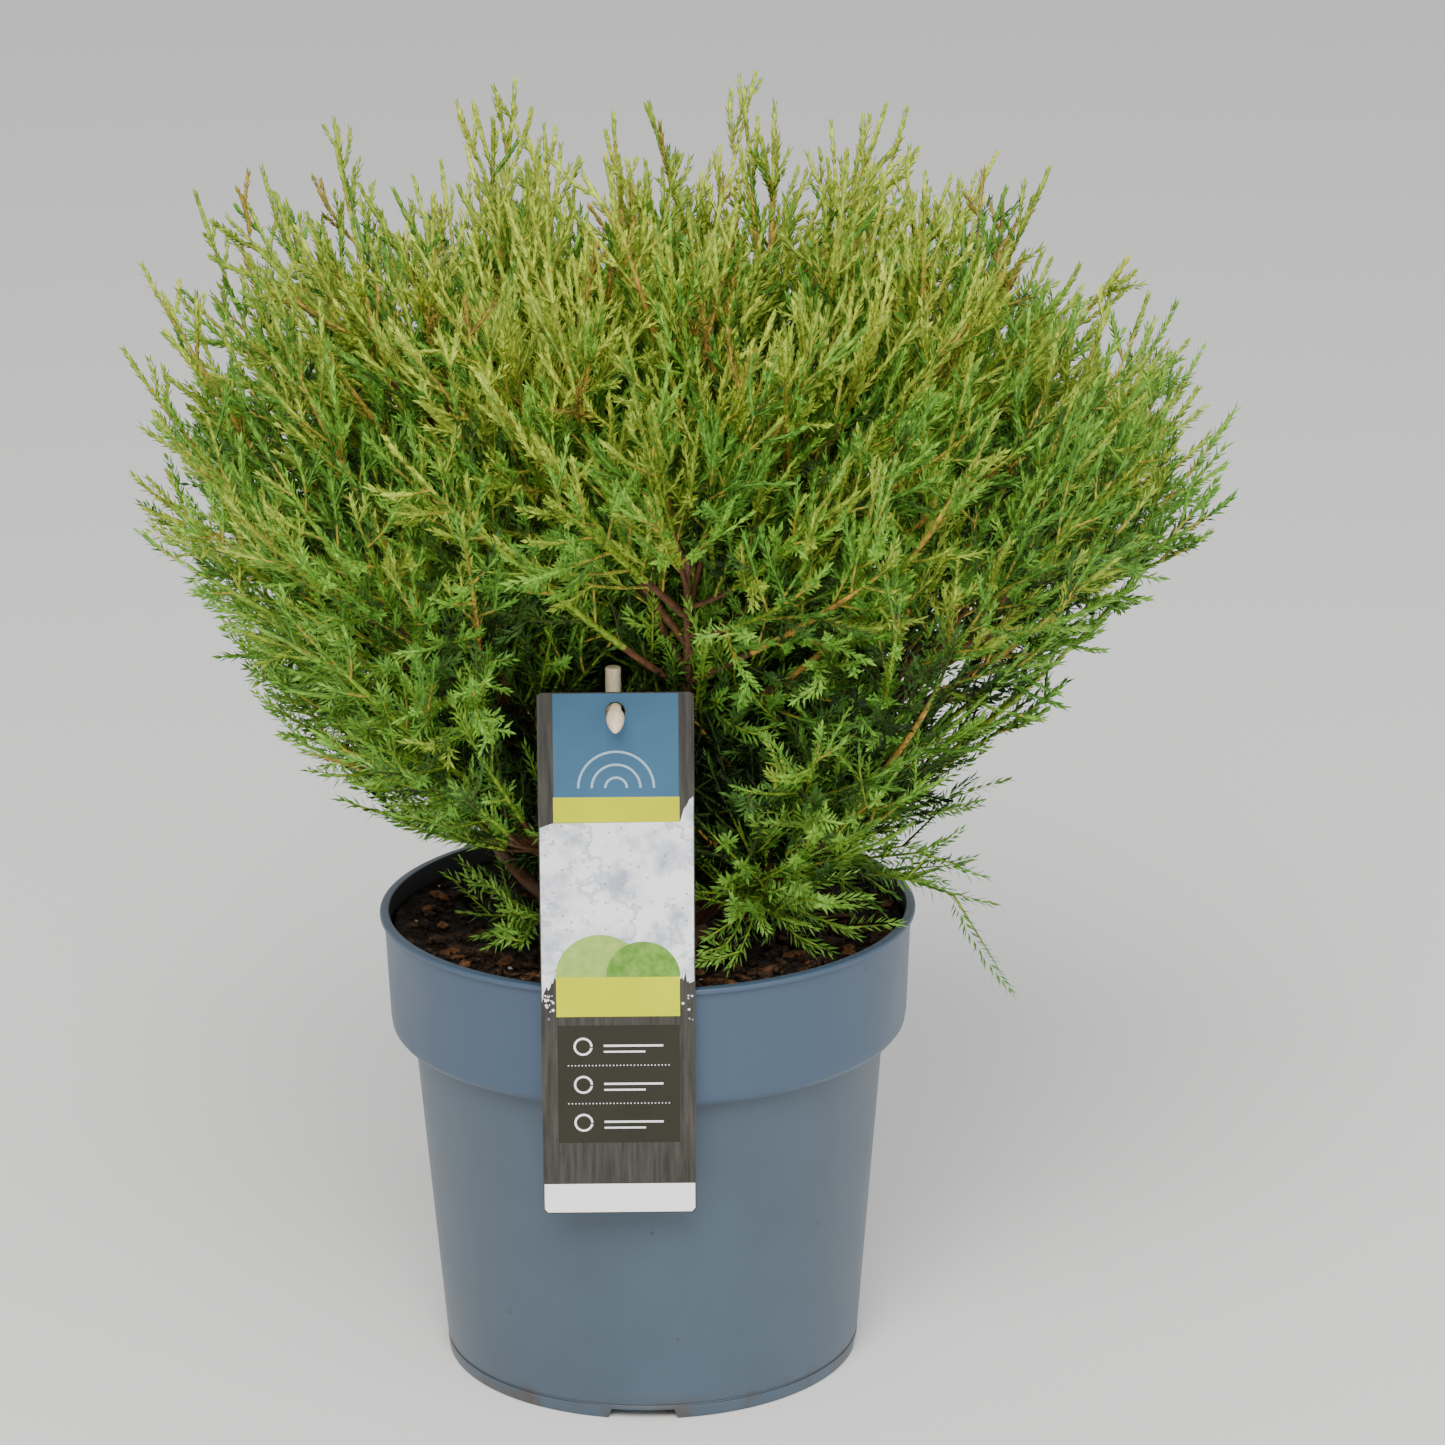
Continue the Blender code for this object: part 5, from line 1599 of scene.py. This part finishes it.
def arc_points(x, z, radius, first, last, count):
    angles = [math.radians(first + (last - first) * i / (count - 1)) for i in range(count)]
    return [(x + radius * math.cos(a), -z + radius * math.sin(a)) for a in angles]


def band_outline(x, z, radius, width, last, count):
    """A ring, or an arc of one from 0 degrees to the last, as one outline."""
    return arc_points(x, z, radius, 0, last, count) + arc_points(x, z, radius - width, last, 0, count)


def plaster_outline():
    """The plaster's outline: straight at the card's sides, broken where it ends over the planks."""
    rng = random.Random(5)
    side, panel = PRINT_HALF, PANEL_HALF
    outline = [
        (-side, -0.0468), (-0.0232, -0.0459), (-0.0212, -0.0452), (0.0212, -0.0450), (0.0224, -0.0405),
        (0.0234, -0.0392), (0.0243, -0.0372), (side, -0.0362), (side, -0.1012),
    ]
    for i in range(1, 12):
        share = i / 12
        depth = 0.1012 - 0.0025 * share + rng.uniform(-0.0018, 0.0018)
        outline.append((side + (panel - side) * share, -depth))
    outline += [(panel, -0.1003), (-panel, -0.1003)]
    for i in range(1, 9):
        share = i / 9
        depth = 0.1003 + 0.0065 * share + rng.uniform(-0.0020, 0.0020)
        outline.append((-panel + (panel - side) * share, -depth))
    return outline + [(-side, -0.1085)]


def printed_shapes():
    """Each printed shape in turn, as its ink, its layer and its outline of (x, z) below the card's top."""
    around = arc_points(0.0, CARD_HOLE_DROP, CARD_HOLE_RADIUS + GAP, 90, 270, 17)
    half = [(0.0, -0.0003), (-PANEL_HALF, -0.0003), (-PANEL_HALF, -0.0362), (0.0, -0.0362), *around[::-1]]
    yield "blue", 0, half
    yield "blue", 0, [(-x, z) for x, z in half]
    yield "lime", 0, box_outline(-0.0210, 0.0210, 0.0362, 0.0450)
    yield "plaster", 0, plaster_outline()
    # Loose flakes of plaster below its broken edge
    rng = random.Random(9)
    for side in (-1, -1, -1, 1):
        for _ in range(7):
            x = side * rng.uniform(0.0215, 0.0250)
            yield "plaster", 0, arc_points(
                x, rng.uniform(0.1060, 0.1150), rng.uniform(0.0002, 0.0006), 0, 300, 6
            )
    yield "lime", 1, box_outline(-PANEL_HALF, PANEL_HALF, HILL_FOOT, 0.1136)
    yield "olive", 0, box_outline(-0.0206, 0.0206, 0.1168, 0.1590)
    foot = [(-PRINT_HALF, -0.1740), (-PRINT_HALF, -0.1831), (-0.0245, -0.1843)]
    yield "white", 0, foot + [(-x, z) for x, z in reversed(foot)]
    yield "pale_green", 1, arc_points(-0.0060, HILL_FOOT, 0.0150, 0, 180, 25)
    yield "green", 2, arc_points(0.0085, HILL_FOOT, 0.0125, 0, 180, 25)
    for i in range(3):
        yield "pale_blue", 1, band_outline(0.0, 0.0330, 0.0040 + 0.0045 * i, 0.0008, 180, 21)
    for z in (0.1243, 0.1380, 0.1517):
        yield "white", 1, band_outline(-0.0120, z, 0.0032, 0.0007, 350, 25)
        yield "white", 1, box_outline(-0.0050, 0.0150, z - 0.0006, z + 0.0001)
        yield "white", 1, box_outline(-0.0050, 0.0090, z + 0.0016, z + 0.0022)
    for z in (0.1311, 0.1448):
        for i in range(30):
            yield "white", 1, arc_points(-0.0170 + 0.0340 * i / 29, z, 0.00022, 0, 315, 8)


class AddCard(bpy.types.Operator):
    """Adds the hanging card with a plain printed design: panels, bands, hills, rings and dotted lines"""

    bl_idname = "arborvitae.add_card"
    bl_label = "Add card"

    def execute(self, context):
        settings = context.scene.card_settings
        size = Vector((settings.width, CARD_THICKNESS, settings.height))
        bm = bmesh.new()
        for v in bmesh.ops.create_cube(bm, size=1.0)["verts"]:
            v.co = Vector((v.co.x * size.x, v.co.y * size.y, (v.co.z - 0.5) * size.z))
        corners = [e for e in bm.edges if abs(e.verts[0].co.y - e.verts[1].co.y) > CARD_THICKNESS / 2]
        rounded(bm, corners, CARD_CORNER, 8)
        bmesh.ops.transform(bm, matrix=card_place(), verts=bm.verts)
        card = object_from("card", bm, (planks_material(),), 30)
        cutter = bmesh.new()
        through = Vector((0, CUT_PAST, 0))
        cylinder(cutter, card_hole_centre() - through, card_hole_centre() + through, CARD_HOLE_RADIUS, 32)
        cut_with(card, object_from("hole", cutter))
        show(card, "printed_card", "label_card")
        inks = {
            "blue": ink("printed blue", tuple(settings.blue), shade(settings.blue, 1.15), 40.0),
            "pale_blue": ink("printed pale blue", (0.36, 0.50, 0.60)),
            "lime": ink("printed lime", tuple(settings.lime)),
            "olive": ink("printed olive", tuple(settings.olive)),
            "white": ink("printed white", (0.95, 0.95, 0.96), (0.93, 0.93, 0.94)),
            "green": ink("printed green", (0.10, 0.24, 0.03), (0.20, 0.38, 0.06), 300.0),
            "pale_green": ink("printed pale green", (0.26, 0.42, 0.08), (0.38, 0.52, 0.12), 260.0),
            "plaster": plaster_material(),
        }
        plates = {name: bmesh.new() for name in inks}
        for name, layer, outline in printed_shapes():
            print_plate(plates[name], layer, outline)
        for name, bm in plates.items():
            bmesh.ops.recalc_face_normals(bm, faces=bm.faces)
            show(object_from("card_" + name, bm, (inks[name],)), "printed_card", "label_card")
        return {"FINISHED"}


class AddStick(bpy.types.Operator):
    """Adds the round stick and the egg-shaped peg that carries the card"""

    bl_idname = "arborvitae.add_stick"
    bl_label = "Add stick and peg"

    def execute(self, context):
        material = wood_material(tuple(context.scene.card_settings.wood))
        bm = bmesh.new()
        cylinder(bm, STICK_FOOT, STICK_TOP, STICK_RADIUS, 32)
        rounded(bm, [e for e in bm.edges if e.calc_face_angle(0) > math.radians(45)], STICK_EDGE, 3)
        seat = card_hole_centre() + UP * (CARD_HOLE_RADIUS - PEG_NECK_RADIUS - GAP)
        share = (seat.z - STICK_FOOT.z) / (STICK_TOP.z - STICK_FOOT.z)
        root = STICK_FOOT.lerp(STICK_TOP, share)
        root.x = seat.x
        straight = seat - Vector((0, PEG_NECK_PAST_CARD, 0))
        cylinder(bm, root, straight, PEG_NECK_RADIUS, 24)
        lean = PEG_LEAN.normalized()
        turn = lean.to_track_quat("Z", "Y").to_matrix()
        centre = straight + lean * PEG_HEAD_LENGTH * (0.5 - PEG_HEAD_SUNK)
        for v in bmesh.ops.create_uvsphere(bm, u_segments=28, v_segments=18, radius=1.0)["verts"]:
            wide = PEG_HEAD_RADIUS * (1.0 - PEG_HEAD_TAPER * v.co.z)
            v.co = centre + turn @ Vector((v.co.x * wide, v.co.y * wide, v.co.z * PEG_HEAD_LENGTH / 2))
        bmesh.ops.recalc_face_normals(bm, faces=bm.faces)
        show(object_from("stick_and_peg", bm, (material,), 40), "pale_wood", "label_stick")
        return {"FINISHED"}


# Stage


def add_area_light(name, place, power, colour):
    light = bpy.data.lights.new(name, "AREA")
    light.energy = power
    light.size = LIGHT_SIZE
    light.color = colour
    obj = linked(name, light)
    obj.location = place
    obj.rotation_euler = (Vector(LIGHT_TARGET) - Vector(place)).to_track_quat("-Z", "Y").to_euler()


class AddStage(bpy.types.Operator):
    """Adds the pale floor, the white world, the soft lights and the camera"""

    bl_idname = "arborvitae.add_stage"
    bl_label = "Add stage"

    def execute(self, context):
        settings = context.scene.stage_settings
        bm = bmesh.new()
        bmesh.ops.create_circle(bm, cap_ends=True, segments=64, radius=FLOOR_RADIUS)
        bmesh.ops.translate(bm, verts=bm.verts, vec=(0, 0, -FLOOR_DROP))
        material = new_material("pale floor", tuple(settings.floor), 0.9)[0]
        object_from("floor", bm, (material,))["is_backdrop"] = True
        world = bpy.data.worlds.new("white world")
        world.use_nodes = True
        tree = world.node_tree
        fill(tree, tree.nodes["Background"], {"Color": (1.0, 1.0, 1.0, 1.0), "Strength": settings.world})
        context.scene.world = world
        add_area_light("key", KEY_PLACE, settings.key, KEY_COLOUR)
        add_area_light("fill", FILL_PLACE, settings.fill, FILL_COLOUR)
        lens = bpy.data.cameras.new("camera")
        lens.sensor_width = SENSOR_WIDTH
        lens.lens = FOCAL_PIXELS / FRAME_SIDE * SENSOR_WIDTH
        lens.clip_end = 50
        camera = linked("camera", lens)
        level = math.cos(CAMERA_PITCH)
        forward = Vector((
            math.sin(CAMERA_YAW) * level, math.cos(CAMERA_YAW) * level, -math.sin(CAMERA_PITCH)
        ))
        right = forward.cross(UP).normalized()
        above = right.cross(forward)
        rolled_right = right * math.cos(CAMERA_ROLL) + above * math.sin(CAMERA_ROLL)
        rolled_up = above * math.cos(CAMERA_ROLL) - right * math.sin(CAMERA_ROLL)
        turn = Matrix((rolled_right, rolled_up, -forward)).transposed().to_4x4()
        camera.matrix_world = Matrix.Translation((0, -CAMERA_DISTANCE, CAMERA_HEIGHT)) @ turn
        context.scene.camera = camera
        return {"FINISHED"}


# Panel and registration


class ArborvitaePanel(bpy.types.Panel):
    """Lists the settings and the steps in the 3D view's sidebar"""

    bl_label = "Arborvitae"
    bl_idname = "VIEW3D_PT_arborvitae"
    bl_space_type = "VIEW_3D"
    bl_region_type = "UI"
    bl_category = "Arborvitae"

    def draw(self, context):
        for operator, setting in STEPS:
            box = self.layout.box()
            if setting:
                group = getattr(context.scene, setting)
                for name in group.__annotations__:
                    box.prop(group, name)
            box.operator(operator.bl_idname)


STEPS = (
    (AddStage, "stage_settings"),
    (AddPot, "pot_settings"),
    (AddSoil, "soil_settings"),
    (AddLimbs, None),
    (AddCrown, "crown_settings"),
    (AddCard, "card_settings"),
    (AddStick, None),
)
SETTINGS = {
    "pot_settings": PotSettings,
    "soil_settings": SoilSettings,
    "crown_settings": CrownSettings,
    "card_settings": CardSettings,
    "stage_settings": StageSettings,
}


def register():
    for group in SETTINGS.values():
        bpy.utils.register_class(group)
    for operator, _ in STEPS:
        bpy.utils.register_class(operator)
    bpy.utils.register_class(ArborvitaePanel)
    for name, group in SETTINGS.items():
        setattr(bpy.types.Scene, name, PointerProperty(type=group))


def unregister():
    for name in SETTINGS:
        delattr(bpy.types.Scene, name)
    bpy.utils.unregister_class(ArborvitaePanel)
    for operator, _ in reversed(STEPS):
        bpy.utils.unregister_class(operator)
    for group in SETTINGS.values():
        bpy.utils.unregister_class(group)


def main():
    register()
    bpy.ops.arborvitae.add_stage()
    bpy.ops.arborvitae.add_pot()
    bpy.ops.arborvitae.add_soil()
    bpy.ops.arborvitae.add_limbs()
    bpy.ops.arborvitae.add_crown()
    bpy.ops.arborvitae.add_card()
    bpy.ops.arborvitae.add_stick()
    boxes = {"cad": CAD_BOX, "visual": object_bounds()}
    {name: [list(corner) for corner in box] for name, box in boxes.items()}


if __name__ == "__main__":
    main()
